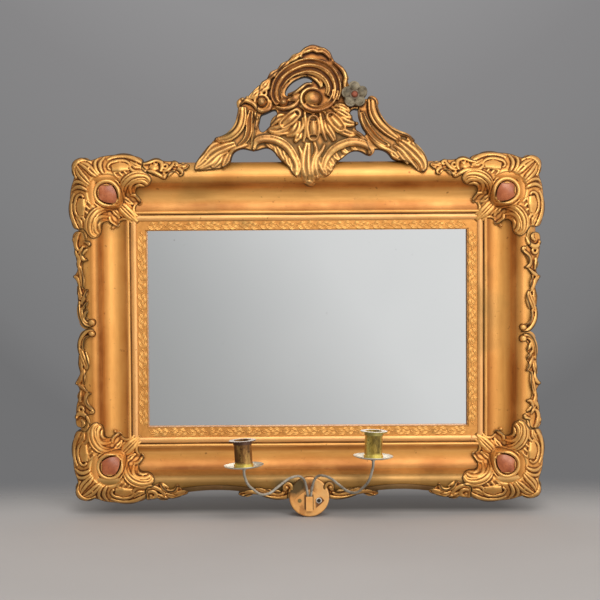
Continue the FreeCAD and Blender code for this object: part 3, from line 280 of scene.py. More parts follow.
def rail_gilding(name, upright, tones, stained=0.0):
    """Gilding for one direction of rail; the stain darkens the outer half of the bottom one."""
    recipe = Recipe(name)
    across, edge = ("X", OUT_X) if upright else ("Z", OUT_Z)
    long_way = (30, 30, 4) if upright else (4, 30, 30)
    inward = recipe.sum("SUBTRACT", edge * MM, recipe.sum("ABSOLUTE", recipe.along(across)))
    wander = recipe.sum("MULTIPLY_ADD", recipe.noise(9.0, 2.0), RAIL_WANDER, -RAIL_WANDER / 2)
    share = recipe.sum("DIVIDE", recipe.sum("ADD", inward, wander), RAIL_SPAN * MM)
    # The tone across the rail holds painted highlight and shade as well as the gilding's colour.
    tone = recipe.ramp(share, [(u / RAIL_SPAN, colour) for u, colour in tones + QUIRK_TONES])
    streaks = recipe.noise(5.0, 5.0, 0.6, recipe.stretch(*long_way))
    tone = recipe.cover(tone, GOLD_DEEP, streaks, (0.35, 0.0), (0.7, 0.5))
    if stained:
        full, none = (span / RAIL_SPAN for span in STAINED_SPAN)
        tone = recipe.cover(tone, GREEN_STAIN, share, (0.0, stained), (full, stained), (none, 0.0))
        spot = recipe.ragged(recipe.away_from(*MOULD_SPOT, 1.6), 70.0, 0.02)
        spot = recipe.sum("DIVIDE", spot, 4 * MOULD_REACH * MM)
        tone = recipe.cover(tone, MOULD, spot, (0.16, 0.9), (0.34, 0.0))
    clouds = recipe.noise(11.0, 4.0, 0.6)
    tone = recipe.cover(tone, GOLD_LIGHT, clouds, (0.42, 0.0), (0.68, 0.42))
    tone = recipe.cover(tone, GREEN_STAIN, recipe.noise(7.0, 3.0, 0.7), (0.56, 0.0), (0.72, 0.5))
    tone = recipe.cover(tone, BROWN, recipe.noise(160.0, 2.0, 0.5), (0.68, 0.0), (0.76, 0.7))
    tone = recipe.cover(tone, BOLE, recipe.noise(46.0, 5.0, 0.7), (0.66, 0.0), (0.72, 0.55))
    bare = recipe.ramp(recipe.facing(0, 1, 0), [(0.4, 0.0), (0.6, 1.0)])
    grain = recipe.noise(16.0, 5.0, 0.65, recipe.stretch(*long_way))
    tone = recipe.blend(bare, tone, recipe.ramp(grain, OLD_WOOD))
    shine = recipe.sum("MAXIMUM", recipe.ramp(clouds, [(0.3, 0.5), (0.7, 0.36)]),
                       recipe.sum("MULTIPLY", bare, 0.85))
    metal = recipe.ramp(bare, [(0.0, GILT_METAL), (0.5, 0.0)])
    brushed = recipe.noise(40.0, 4.0, 0.6, recipe.stretch(*long_way))
    return recipe.finish(tone, shine, metal, brushed, 0.12, 0.0006)


dress(rail_gilding("gilding_upright_rails", True, SIDE_TONES_AND_SHADING), "left_rail", "right_rail")
dress(rail_gilding("gilding_level_rails", False, TOP_TONES_AND_SHADING), "top_rail")
dress(rail_gilding("gilding_bottom_rail", False, BOTTOM_TONES_AND_SHADING, 0.72), "bottom_rail")
print("rails gilded with", len(SIDE_TONES_AND_SHADING + QUIRK_TONES), "tones across")

# %% [markdown]
# ## Gilding on the carving
# On carved work the leaf is rubbed bright on the high parts, and brown dirt and old size have
# filled the hollows. Each carved mesh is given two measures of how deep a point lies under its
# surroundings, one fine and one broad, and one of how near it is to the sawn outline. The finish
# reads them. Ridges are pale, partly as painted highlight. Slopes are full gold. Hollows are dark
# brown, and in the crest's broad channels that brown is painted shade. The outline and the steep
# sides get painted shade. A few patches are greenish. The crest is also painted darker towards
# its top and brighter towards its foot.

# %% Mix the gilding for the carved pieces
# A ramp's pale end is partly painted highlight on the ridges. Its dark end is dirt in the hollows,
# and painted shade in broad channels.
CARVING_RAMP = [(0.0, 255, 202, 122), (0.38, 250, 190, 106), (0.49, 238, 170, 88),
                (0.57, 208, 140, 68), (0.66, 142, 86, 34), (0.82, 78, 42, 12),
                (1.0, 48, 24, 8)]
CREST_RAMP = [(0.0, 255, 212, 136), (0.32, 252, 194, 112), (0.48, 232, 162, 84),
              (0.58, 156, 96, 38), (0.7, 86, 48, 14), (1.0, 44, 22, 6)]
CARVING_METAL = 0.62
STEEP_SIDE_SHADE = rgb(74, 46, 20)
OUTLINE_SHADE = rgb(64, 38, 12)
WORN_TOP = rgb(146, 88, 44)
OLIVE = rgb(120, 108, 66)
CREST_SHADE = rgb(96, 54, 20)
CREST_FOOT_GOLD = rgb(255, 206, 128)
CLIMB = 6.0     # turns metres of height up the crest into a ramp's span


def carving_gilding(name, tones, broad_share, brown_tops, darker_top=False):
    """Gilding that reads a carving's hollows; its steep sides are darkened with painted shade."""
    recipe = Recipe(name)
    broad = recipe.attribute("hollow_broad")
    depth = recipe.sum("MULTIPLY_ADD", recipe.attribute("hollow"), 1 - broad_share,
                       recipe.sum("MULTIPLY", broad, broad_share))
    grit = recipe.noise(220.0, 4.0, 0.6)
    depth = recipe.sum("ADD", depth, recipe.sum("MULTIPLY_ADD", grit, 0.16, -0.08))
    # Painted highlight on ridges and painted shade in broad hollows, mixed with real dirt.
    tone = recipe.ramp(depth, tones)
    patches = recipe.noise(26.0, 3.0, 0.6)
    tone = recipe.cover(tone, GOLD_DEEP, patches, (0.5, 0.0), (0.68, 0.5))
    worn = recipe.ramp(recipe.noise(34.0, 3.0, 0.6), [(0.4, 0.0), (0.56, brown_tops)])
    raised = recipe.sum("MULTIPLY", recipe.ramp(broad, [(0.26, 1.0), (0.5, 0.0)]), worn)
    tone = recipe.blend(raised, tone, WORN_TOP)
    # Painted shade on the steep sides, which face away from the front.
    tone = recipe.cover(tone, STEEP_SIDE_SHADE, recipe.facing(0, -1, 0), (0.12, 0.85), (0.5, 0.0))
    if darker_top:
        # Painted by height: darker towards the crest's top, brighter towards its foot.
        height = recipe.along("Z")
        climb = recipe.sum("MULTIPLY_ADD", height, CLIMB, -1.3)
        tone = recipe.cover(tone, CREST_SHADE, climb, (0.3, 0.0), (0.6, 0.2))
        low = recipe.sum("MULTIPLY_ADD", height, CLIMB, -1.0)
        tone = recipe.cover(tone, CREST_FOOT_GOLD, low, (0.2, 0.3), (0.7, 0.0))
    # Painted shade along the sawn outline.
    outline = recipe.sum("ADD", recipe.attribute("rim"),
                         recipe.sum("MULTIPLY_ADD", patches, 0.7, -0.35))
    tone = recipe.cover(tone, OUTLINE_SHADE, outline, (0.22, 0.86), (0.62, 0.0))
    olive = recipe.noise(17.0, 4.0, 0.65, recipe.stretch(1.0, 1.0, 1.3))
    tone = recipe.cover(tone, OLIVE, olive, (0.6, 0.0), (0.74, 0.45))
    tone = recipe.cover(tone, BOLE, recipe.noise(90.0, 5.0, 0.7), (0.66, 0.0), (0.74, 0.5))
    shine = recipe.ramp(depth, [(0.2, 0.36), (0.8, 0.62)])
    return recipe.finish(tone, shine, CARVING_METAL, grit, 0.1, 0.0005)


CARVED_GILDING = carving_gilding("gilding_carved", CARVING_RAMP, 0.16, 0.35)
CREST_GILDING = carving_gilding("gilding_crest", CREST_RAMP, 0.36, 0.9, True)
print("gilding for the carving mixed, with", len(CARVING_RAMP), "and", len(CREST_RAMP), "tones")

# %% [markdown]
# ## Small fittings and hidden parts
# The cabochons are a red-brown glazed composition. The wires are dull drawn iron, the pans thin
# tinned sheet, the cups brass that has gone olive and brown. Behind, the boards and blocks are
# old pine and the screws, nails and hanger are dark iron.

# %% Mix the finishes of the fittings
def mottled(name, scale, stops, detail=4.0, roughness=0.6):
    """A recipe with a cloudy tone to begin with, and the clouds themselves."""
    recipe = Recipe(name)
    clouds = recipe.noise(scale, detail, roughness)
    return recipe, clouds, recipe.ramp(clouds, stops)


def cabochon_glaze():
    recipe, _, tone = mottled("glaze_red_brown", 60.0, [(0.3, 150, 76, 42), (0.55, 188, 106, 64),
                                                        (0.75, 214, 140, 98)])
    wear = recipe.noise(420.0, 3.0, 0.6)
    tone = recipe.cover(tone, rgb(110, 54, 34), wear, (0.6, 0.0), (0.7, 0.6))
    # Painted shade round the dome's edge, where it turns away from the front.
    tone = recipe.cover(tone, rgb(104, 48, 18), recipe.facing(0, -1, 0), (0.55, 0.8), (0.93, 0.0))
    return recipe.finish(tone, 0.34, 0.0, wear, 0.2, 0.0003)


def drawn_wire():
    recipe, clouds, tone = mottled("wire_dull_iron", 90.0, [
        (0.3, 134, 126, 112), (0.6, 190, 182, 166), (0.8, 212, 204, 188)])
    spots = recipe.noise(240.0, 2.0, 0.5)
    tone = recipe.cover(tone, rgb(92, 72, 50), spots, (0.62, 0.0), (0.7, 0.8))
    return recipe.finish(tone, 0.46, 0.6, clouds, 0.25, 0.0003)


def tinned_sheet():
    recipe, _, tone = mottled("sheet_tinned", 70.0, [
        (0.3, 168, 158, 136), (0.55, 208, 200, 182), (0.8, 226, 220, 204)], 5.0, 0.65)
    spots = recipe.noise(260.0, 3.0, 0.6)
    tone = recipe.cover(tone, rgb(136, 112, 78), spots, (0.62, 0.0), (0.72, 0.7))
    return recipe.finish(tone, 0.44, 0.45, spots, 0.2, 0.0003)


def aged_brass(name, light, middle, dark, foot=None):
    """Tarnished brass; a cup's foot, given as its height in mm, is rubbed bright yellow."""
    recipe = Recipe(name)
    runs = recipe.noise(55.0, 5.0, 0.65, recipe.stretch(1.6, 1.6, 0.5))
    tone = recipe.ramp(runs, [(0.34, dark), (0.48, middle), (0.6, light)])
    spots = recipe.noise(300.0, 3.0, 0.6)
    tone = recipe.cover(tone, dark, spots, (0.56, 0.0), (0.66, 0.75))
    if foot is not None:
        wavy = recipe.sum("MULTIPLY_ADD", runs, 0.006, recipe.along("Z"))
        rise = recipe.sum("DIVIDE", recipe.sum("SUBTRACT", wavy, foot * MM), 0.02)
        tone = recipe.cover(tone, rgb(240, 216, 104), rise, (0.3, 0.95), (0.44, 0.0))
    return recipe.finish(tone, 0.3, 0.7, spots, 0.25, 0.0003)


def cup_rim(name, edge):
    """A rim that was tinned on its flat top and left as brass below."""
    recipe, clouds, tinned = mottled(name, 90.0, [(0.3, 178, 162, 146), (0.7, 226, 214, 200)])
    tone = recipe.cover(edge, tinned, recipe.facing(0, 0, 1), (0.3, 0.0), (0.7, 1.0))
    return recipe.finish(tone, 0.4, 0.5, clouds, 0.2, 0.0003)


def old_pine():
    recipe = Recipe("pine_old")
    rings = recipe.noise(4.0, 6.0, 0.6, recipe.stretch(3.0, 30.0, 46.0), 0.6)
    tone = recipe.ramp(rings, [(0.3, 112, 84, 54), (0.5, 158, 124, 84), (0.7, 184, 150, 106)])
    dirt = recipe.noise(9.0, 4.0, 0.6)
    tone = recipe.cover(tone, rgb(84, 64, 44), dirt, (0.45, 0.0), (0.75, 0.6))
    return recipe.finish(tone, 0.82, 0.0, rings, 0.4, 0.0008)


def old_iron():
    recipe, rust, tone = mottled("iron_dark", 180.0, [
        (0.35, 48, 44, 42), (0.55, 76, 66, 58), (0.75, 112, 74, 50)], 5.0, 0.7)
    return recipe.finish(tone, 0.6, 0.55, rust, 0.5, 0.0004)


def looking_glass():
    recipe, haze, tone = mottled("glass_silvered", 3.0, [
        (0.3, 228, 230, 230), (0.7, 238, 239, 238)], 3.0, 0.5)
    foxing = recipe.noise(140.0, 4.0, 0.7)
    tone = recipe.cover(tone, rgb(150, 146, 138), foxing, (0.7, 0.0), (0.78, 0.4))
    return recipe.finish(tone, recipe.ramp(haze, [(0.3, 0.03), (0.7, 0.05)]), 1.0)


IRON = old_iron()
LEFT_FOOT = -167.0
RIGHT_FOOT = -156.5
dress(cabochon_glaze(), "cabochon_top_left", "cabochon_top_right", "cabochon_bottom_left",
      "cabochon_bottom_right")
dress(drawn_wire(), "candle_arm_left", "candle_arm_right", "arm_tang")
dress(tinned_sheet(), "drip_pan_left", "drip_pan_right")
dress(cup_rim("rim_dull", rgb(96, 66, 48)), "cup_rim_left")
dress(cup_rim("rim_bright", rgb(176, 160, 88)), "cup_rim_right")
dress(aged_brass("brass_dark", rgb(188, 144, 78), rgb(126, 86, 44), rgb(62, 42, 26), LEFT_FOOT),
      "candle_cup_left")
dress(aged_brass("brass_bright", rgb(232, 206, 108), rgb(184, 152, 68), rgb(96, 78, 34),
                 RIGHT_FOOT), "candle_cup_right")
dress(old_pine(), "backboard_top", "backboard_middle", "backboard_bottom", "glazing_blocks",
      "crest_batten_left", "crest_batten_right", "mitre_keys")
dress(IRON, "backboard_nails", "crest_screws", "hanger_screws", "hanger_strap", "hanger_ring")
dress(looking_glass(), "mirror_glass")
print("materials so far:", len(bpy.data.materials))

# %% [markdown]
# ## The carver's tools
# Rococo ornament is cut as a crowd of rounded ridges: scrolls, ribs, leaf strokes and balls, each
# with a deep groove beside it. Every ridge is drawn here as a curve flat on the bench, with a
# cross-section that is scaled by its width at each point, the way a carver follows a pencil line
# with a gouge. The flat drawing is then bent over the moulding, joined with the plain ground
# that stands under it, and remeshed into one skin. That gives real depth and undercut edges,
# which a painted or bumped pattern would not. In a drawing, each stroke has a line: its
# section, its widths and heights at the start, middle and end, and its points.

# %% Cross-sections of a carved stroke
def read_points(text):
    """Pairs of numbers, written as x y and parted by commas."""
    return [tuple(float(number) for number in pair.split()) for pair in text.split(",")]


def both_sides(text):
    """A section drawn from its left edge to its middle, and turned over to the right."""
    half = read_points(text)
    return half + [(-x, y) for x, y in reversed(half[:-1])]


SECTIONS = {
    "rib": both_sides("-1 -1.2, -1 -.3, -.82 .16, -.42 .46, 0 .55"),
    "band": read_points("-1 -1, -1 .1, -.88 .34, -.5 .46, .06 .42, .32 .24, .42 -.02, .5 -.02,"
                        ".62 .3, .84 .34, 1 .05, 1 -1"),
    "trough": both_sides("-1 -1, -1 .2, -.92 .42, -.76 .42, -.6 .12, -.3 -.16, 0 -.24"),
    "triple": read_points("-1 -.9, -1 .02, -.86 .26, -.66 .26, -.52 .02, -.36 .26, -.12 .36,"
                          ".12 .36, .3 .26, .46 .02, .62 .24, .84 .26, 1 .02, 1 -.9"),
    "leaf": both_sides("-1 -.9, -1 -.12, -.7 .2, -.36 .26, -.1 0, 0 -.1"),
    "pad": both_sides("-1 -.7, -1 -.1, -.86 .1, -.5 .24, 0 .28"),
}
STROKE_WIDER = {"rib": 1.3, "band": 1.0, "trough": 1.0, "triple": 1.15, "leaf": 1.25, "pad": 1.1}
STROKE_LOWER = 0.72


def stroke_section(name, points):
    bpy.ops.curve.primitive_bezier_curve_add()
    section = bpy.context.object
    section.name = "section_" + name
    section.data.dimensions = "2D"
    section.data.splines.clear()
    outline = section.data.splines.new("POLY")
    outline.points.add(len(points) - 1)
    for point, (x, y) in zip(outline.points, points):
        point.co = (x * MM, y * MM, 0, 1)
    outline.use_cyclic_u = True
    return section


pick()
GOUGES = {name: stroke_section(name, points) for name, points in SECTIONS.items()}
print("cross-sections:", ", ".join(GOUGES))

# %% Draw strokes flat on the bench
STROKE_STEPS = 5
THINNEST = 0.05
BALL_SEGMENTS = 16
BALL_RINGS = 10


def loop(x, z, radius, count=10):
    """A closed ring of points."""
    turns = [math.tau * k / count for k in range(count)]
    points = [(x + radius * math.cos(turn), z + radius * math.sin(turn)) for turn in turns]
    return points + points[:1]


def read_drawing(text):
    """A drawing from its lines. A ring has one width, one height, then x, z, radius, corners;
    each ball on a line has x, z, half width along x, half width along z, and height."""
    drawing = []
    for line in text.replace("\n    ", " ").strip().splitlines():
        if line.startswith("#"):
            continue
        section, *sizes, points = [part.strip() for part in line.split("|")]
        points = read_points(points)
        sizes = [read_points(size)[0] for size in sizes]
        if section == "ball":
            drawing.extend(("ball", ball) for ball in points)
        elif section == "ring":
            (x, z, radius, *count), = points
            line = loop(x, z, radius, *map(int, count))
            drawing.append(("rib", line, sizes[0] * 3, sizes[1] * 3))
        else:
            drawing.append((section, points, *sizes))
    return drawing


def between(values, share):
    """A width or height at a share of the way along: start, middle and end values, smoothly."""
    start, middle, end = values
    return (start * (1 - share) * (1 - 2 * share) + middle * 4 * share * (1 - share)
            + end * share * (2 * share - 1))


def draw_strokes(section, strokes):
    """Each stroke: its points (x, z), widths at start, middle and end, heights likewise, in mm."""
    pick()
    bpy.ops.curve.primitive_bezier_curve_add()
    curve = bpy.context.object.data
    curve.splines.clear()
    curve.dimensions = "3D"
    curve.twist_mode = "Z_UP"
    curve.resolution_u = STROKE_STEPS
    curve.bevel_mode = "OBJECT"
    curve.bevel_object = GOUGES[section]
    curve.use_fill_caps = True
    for points, widths, heights in strokes:
        closed = points[0] == points[-1]
        line = points[:-1] if closed else points
        spline = curve.splines.new("BEZIER")
        spline.bezier_points.add(len(line) - 1)
        spline.use_cyclic_u = closed
        lengths = [0.0]
        for a, b in zip(line, line[1:]):
            lengths.append(lengths[-1] + math.dist(a, b))
        for knot, (x, z), run in zip(spline.bezier_points, line, lengths):
            share = run / lengths[-1]
            knot.co = (x * MM, z * MM, STROKE_LOWER * between(heights, share) * MM)
            knot.radius = max(STROKE_WIDER[section] * between(widths, share), THINNEST)
            knot.handle_left_type = knot.handle_right_type = "AUTO"
    bpy.ops.object.convert(target="MESH")
    return bpy.context.object


def draw_ball(x, z, wide, tall, high):
    pick()
    bpy.ops.mesh.primitive_uv_sphere_add(segments=BALL_SEGMENTS, ring_count=BALL_RINGS, radius=MM)
    bpy.ops.transform.resize(value=(wide, tall, high))
    bpy.ops.transform.translate(value=(x * MM, z * MM, 0))
    bpy.ops.object.transform_apply(location=True, rotation=True, scale=True)
    return bpy.context.object


def draw(drawing):
    """All the flat pieces of a drawing: its strokes by section, then its balls."""
    sections = sorted({stroke[0] for stroke in drawing if stroke[0] != "ball"})
    pieces = [draw_strokes(section, [stroke[1:] for stroke in drawing if stroke[0] == section])
              for section in sections]
    return pieces + [draw_ball(*stroke[1]) for stroke in drawing if stroke[0] == "ball"]


print("a stroke of width 1, 2, 1 is", between((1, 2, 1), 0.25), "wide a quarter of the way along")

# %% [markdown]
# ## Bending the drawing over the moulding
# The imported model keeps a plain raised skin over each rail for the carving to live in. The
# ground of the carving lies a few millimetres under that skin, and the strokes stand on the
# ground. Near a corner the nearer of the two outer edges decides, with the crease between them
# softened, as a carver eases a mitre. The crest has its own skin, flat below and leaning back
# towards the top.

# %% The ground that strokes stand on
RAISED_SKIN = read_points("-14 32, -13 34, -8.5 42, -3.25 48, 2 51.6, 8 55.2, 14 57.3, 19 58,"
                          "24 57.6, 29 56, 32 53.7, 35 49.8, 39.1 43, 44 39.8, 50.6 37.6,"
                          "62 38.6, 76 39, 84 35.4, 92 33")
MITRE_EASE = 2.0
GROUND_UNDER = 6.5
SKIN_SPARE = 0.4
RING_MIDDLE = (-260.5, 179.5)
RING_GROUND = 45.5
RING_REACH = (18.0, 24.0)


def inward(x, z):
    """How far in from the nearer outer edge of the frame, in mm."""
    a = OUT_X - np.abs(x)
    b = OUT_Z - np.abs(z)
    return -MITRE_EASE * np.logaddexp(-a / MITRE_EASE, -b / MITRE_EASE)


def skin_over_rails(x, z):
    return np.interp(inward(x, z), *zip(*RAISED_SKIN))


def skin_with_spare(x, z):
    return skin_over_rails(x, z) + SKIN_SPARE


def ground_on_rails(x, z):
    return skin_over_rails(x, z) - GROUND_UNDER


def ground_at_corner(x, z):
    """The rails' ground, with a level seat where the cabochon's ring stands."""
    away = np.hypot(x - RING_MIDDLE[0], z - RING_MIDDLE[1])
    share = np.clip((RING_REACH[1] - away) / (RING_REACH[1] - RING_REACH[0]), 0, 1)
    return ground_on_rails(x, z) * (1 - share) + RING_GROUND * share


def positions(piece):
    """A mesh's points in mm, one row each."""
    flat = np.empty(len(piece.data.vertices) * 3)
    piece.data.vertices.foreach_get("co", flat)
    return flat.reshape(-1, 3) / MM


def place_points(piece, points):
    piece.data.vertices.foreach_set("co", (points * MM).ravel())
    piece.data.update()


def copy_of(piece, name=None):
    """A copy with its own mesh."""
    other = piece.copy()
    other.data = piece.data.copy()
    if name:
        other.name = other.data.name = name
    bpy.context.collection.objects.link(other)
    return other


def bend_over(piece, ground, top):
    """Stands a flat drawing up on its ground: x stays, y becomes height, z is forward."""
    flat = positions(piece)
    x, z, high = flat[:, 0], flat[:, 1], flat[:, 2]
    forward = np.minimum(ground(x, z) + high, top(x, z))
    place_points(piece, np.column_stack([x, -forward, z]))


print("the skin stands", float(skin_over_rails(-OUT_X + 19, 0)), "mm from the wall at its crown")

# %% Join a ground and its strokes into one carved skin
GROUND_CELL = 1.2
CARVED_CELL = 0.7
SINK = 0.8
WELD = 0.00001     # metres
FACES_BACK = 0.3     # a normal's y from which a face counts as facing the wall


def modify(piece, kind, **settings):
    """Adds a modifier and applies it at once."""
    pick(piece)
    modifier = piece.modifiers.new(kind.lower(), kind)
    for key, value in settings.items():
        setattr(modifier, key, value)
    bpy.ops.object.modifier_apply(modifier=modifier.name)


def remesh(piece, cell):
    modify(piece, "REMESH", mode="VOXEL", voxel_size=cell * MM)


def normals_of(piece):
    return np.array([vertex.normal[:] for vertex in piece.data.vertices])


def carving_ground(node_name, ground):
    """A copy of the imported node, cut back to the ground and set slightly into what carries it."""
    blank = copy_of(NODES[node_name])
    pick(blank)
    bpy.ops.object.mode_set(mode="EDIT")
    bpy.ops.mesh.select_all(action="SELECT")
    bpy.ops.mesh.remove_doubles(threshold=WELD)
    bpy.ops.object.mode_set(mode="OBJECT")
    remesh(blank, GROUND_CELL)
    points = positions(blank)
    points[:, 1] = np.where(normals_of(blank)[:, 1] > FACES_BACK, points[:, 1] + SINK,
                            np.maximum(points[:, 1], -ground(points[:, 0], points[:, 2])))
    place_points(blank, points)
    return blank


def join(name, pieces):
    pick(*pieces)
    bpy.ops.object.join()
    pieces[0].name = pieces[0].data.name = name
    return pieces[0]


def smoothed_offsets(points, normals, edges, turns):
    """How far the smoothed surface stands above each point, along its normal, in mm."""
    count = len(points)
    degree = np.bincount(edges.ravel(), minlength=count).clip(1)[:, None]
    moved = points.copy()
    for _ in range(turns):
        total = np.zeros_like(moved)
        for axis in range(3):
            total[:, axis] = (np.bincount(edges[:, 0], moved[edges[:, 1], axis], count)
                              + np.bincount(edges[:, 1], moved[edges[:, 0], axis], count))
        moved = 0.4 * moved + 0.6 * total / degree
    return ((moved - points) * normals).sum(axis=1)


HOLLOWS = {"hollow": (8, 0.38), "hollow_broad": (70, 2.2)}     # turns of smoothing, depth in mm


def mark(piece, name, values):
    """Stores one value for each of a mesh's points."""
    attributes = piece.data.attributes
    layer = attributes.get(name) or attributes.new(name, "FLOAT", "POINT")
    layer.data.foreach_set("value", values)


def mark_hollows(piece):
    """Stores how deep each point lies: 0 on a ridge, 0.5 on a slope, 1 in a hollow."""
    points, normals = positions(piece), normals_of(piece)
    edges = np.array([edge.vertices[:] for edge in piece.data.edges])
    for name, (turns, depth) in HOLLOWS.items():
        rise = smoothed_offsets(points, normals, edges, turns)
        mark(piece, name, np.clip(0.5 + 0.5 * rise / depth, 0, 1))


RIM_REACH = 2.6
RIM_STEP = 1.0
OUTSIDE = 0.6
FAR_FRONT = -200.0
STEEPEST = 6.0     # an edge that runs back more steeply than this is no part of the outline
FRONT_TO_BACK = Vector((0, 1, 0))


def mark_rim(piece, node_name):
    """Stores how far each point lies in from the sawn outline: 0 at the edge, 1 well inside."""
    sawn = NODES[node_name].data
    places = [vertex.co / MM for vertex in sawn.vertices]
    solid = bvhtree.BVHTree.FromPolygons(places, [tuple(p.vertices) for p in sawn.polygons])
    samples = []
    for polygon in sawn.polygons:
        # Only a wall with nothing in front of it or behind it belongs to the outline.
        outside = polygon.center / MM + OUTSIDE * polygon.normal
        outside.y = FAR_FRONT
        if (abs(polygon.normal.y) > FACES_BACK
                or solid.ray_cast(outside, FRONT_TO_BACK)[0] is not None):
            continue
        corners = [places[i] for i in polygon.vertices]
        for a, b in zip(corners, corners[1:] + corners[:1]):
            long = math.hypot(b.x - a.x, b.z - a.z)
            if abs(b.y - a.y) < STEEPEST * max(long, 0.5):
                count = max(1, round(long / RIM_STEP))
                samples.extend((a.x + (b.x - a.x) * k / count, a.z + (b.z - a.z) * k / count)
                               for k in range(count))
    tree = kdtree.KDTree(len(samples))
    for index, (x, z) in enumerate(samples):
        tree.insert((x, 0, z), index)
    tree.balance()
    mark(piece, "rim", [min(tree.find((x, 0, z))[2] / RIM_REACH, 1.0)
                        for x, _, z in positions(piece)])


def stand_for(piece, node_name):
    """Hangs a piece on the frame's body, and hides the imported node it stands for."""
    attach(piece, "frame")
    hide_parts(node_name)


def carve(name, node_name, drawing, ground=ground_on_rails, top=skin_with_spare,
          material=CARVED_GILDING, cell=CARVED_CELL):
    """Carves one ornament: its ground, its strokes by section, and its balls."""
    pieces = [carving_ground(node_name, ground)]
    for piece in draw(drawing):
        bend_over(piece, ground, top)
        pieces.append(piece)
    whole = join(name, pieces)
    remesh(whole, cell)
    modify(whole, "SMOOTH", factor=0.5, iterations=2)
    mark_hollows(whole)
    mark_rim(whole, node_name)
    whole.data.polygons.foreach_set("use_smooth", [True] * len(whole.data.polygons))
    clad(whole, material)
    stand_for(whole, node_name)
    print(name, "triangles:", sum(len(p.vertices) - 2 for p in whole.data.polygons))
    return whole


def mirrored_copy(piece, name, node_name, flip_x=1, flip_z=1, shift_x=0.0, shift_z=0.0):
    """The same carving in another place; -1 flips it, and its faces are turned right again."""
    other = copy_of(piece, name)
    place_points(other, positions(other) * (flip_x, 1, flip_z) + (shift_x, 0, shift_z))
    if flip_x != flip_z:
        other.data.flip_normals()
    stand_for(other, node_name)


print("carving is cut in cells of", CARVED_CELL, "mm, its ground in cells of", GROUND_CELL, "mm")

# %% [markdown]
# ## The corner ornaments
# Each corner is one leafy mass round a red cabochon in a broad ring. Two ribbed C-scrolls spring
# from the ring, one along each rail; two smooth ovals lie outside them under a crescent rib; a
# long leaf runs down the mitre to the sight edge. The halves are nearly mirror images across the
# mitre, so one half is drawn and turned over, and what belongs to one side only is added.

# %% Draw one corner
HALF_CORNER = read_drawing("""
# The ribbed scroll, its curl and its eye.
triple | 2.5 5.4 2.6 | 0.5 2.6 1.5 | -240 176, -238 186, -232 194, -224 199, -215 200.5, -206 198,
    -202.5 192
rib | 0.9 2 1.5 | 0.5 2.6 2 | -229 178, -229 185, -225 191, -217 193, -210 192, -206 188.5
rib | 0.6 1.3 0.7 | 0.5 1.8 0.6 | -222 181, -221 186, -216 188, -211 187
# Crescents outside the smooth oval.
rib | 0.9 2.6 1 | 1.5 3.6 1 | -259 222, -250 226, -240 227.5, -230 226, -221 221.5, -212 216
rib | 0.8 1.5 0.7 | 1.4 3.4 1.4 | -254 208.5, -257 211.5, -256 216, -249 219.5, -240 220.8,
    -232 218.5, -227 213
pad | 4 6.2 3.6 | 1.4 2.6 1.4 | -252 210.5, -242 212, -231 211.5
# The leaf's return beside it.
rib | 0.8 1.6 0.8 | 1 2.4 0.8 | -231 216, -226 208, -218 205.5, -208 206.5, -200 204
leaf | 1 3 0.8 | 1.2 2.4 0.6 | -229 219, -222 214, -213 212
# Lattice between the oval and the scroll.
rib | 1 1.5 0.8 | 0.8 1.8 0.8 | -249 203, -244 198
rib | 1 1.5 0.8 | 0.8 1.8 0.8 | -243.5 206, -238.5 200.5
rib | 1 1.5 0.8 | 0.8 1.8 0.8 | -237.5 208, -233 203
rib | 0.6 0.9 0.6 | 0.8 1.5 0.8 | -250 204.5, -240 206.6, -229 208.5
# Leaf strokes of the mitre leaf's flank.
leaf | 1.2 3 0.8 | 0.8 2.4 0.8 | -241 176, -234 168, -227 164
leaf | 1.2 3 0.8 | 0.8 2.6 0.8 | -240 170, -232 160, -225 156
rib | 1 1.8 1 | 0.8 2.6 1 | -229 176, -222 174, -219 170, -216.5 167, -219.5 163.5
rib | 0.8 1.7 1 | 0.8 2.6 1.2 | -224 164, -226 158, -224 151, -219 147
# Folds from the ring out to the corner's tip.
leaf | 2 4 1 | 1 3 0.8 | -270 199, -277 206, -286 214, -297 219
rib | 1 1.9 0.8 | 1.2 3.8 1.2 | -262 202, -266 209, -267.5 216, -263 226
rib | 0.9 1.6 0.8 | 1 2.8 1 | -268 203, -273 211, -274 219, -271 224
rib | 1 2.1 1.2 | 0.8 3 1.4 | -279 218, -286 222, -294 221, -300 215.5, -302 211.5
""")
DROP = (-259.5, 178.5)
DROP_REACHES = read_points("0 18.6, 22 15.6, 46 12.8, 72 11.6, 102 11.5, 132 11.5, 162 11.5")


def round_drop(spare):
    """A closed line round the cabochon's drop, the spare distance outside it."""
    turns = DROP_REACHES + [(180, DROP_REACHES[-1][1])]
    turns += [(360 - angle, reach) for angle, reach in reversed(DROP_REACHES[1:])]
    line = []
    for angle, reach in turns:
        turn = math.radians(angle - 45)
        line.append((DROP[0] + (reach + spare) * math.cos(turn),
                     DROP[1] + (reach + spare) * math.sin(turn)))
    return line + line[:1]


def over_mitre(strokes):
    """The same strokes, turned over the corner's mitre."""
    turn = OUT_Z - OUT_X
    return [(section, [(turn - z, turn - x) for x, z in points], widths, heights)
            for section, points, widths, heights in strokes]


def even(size):
    return (size,) * 3


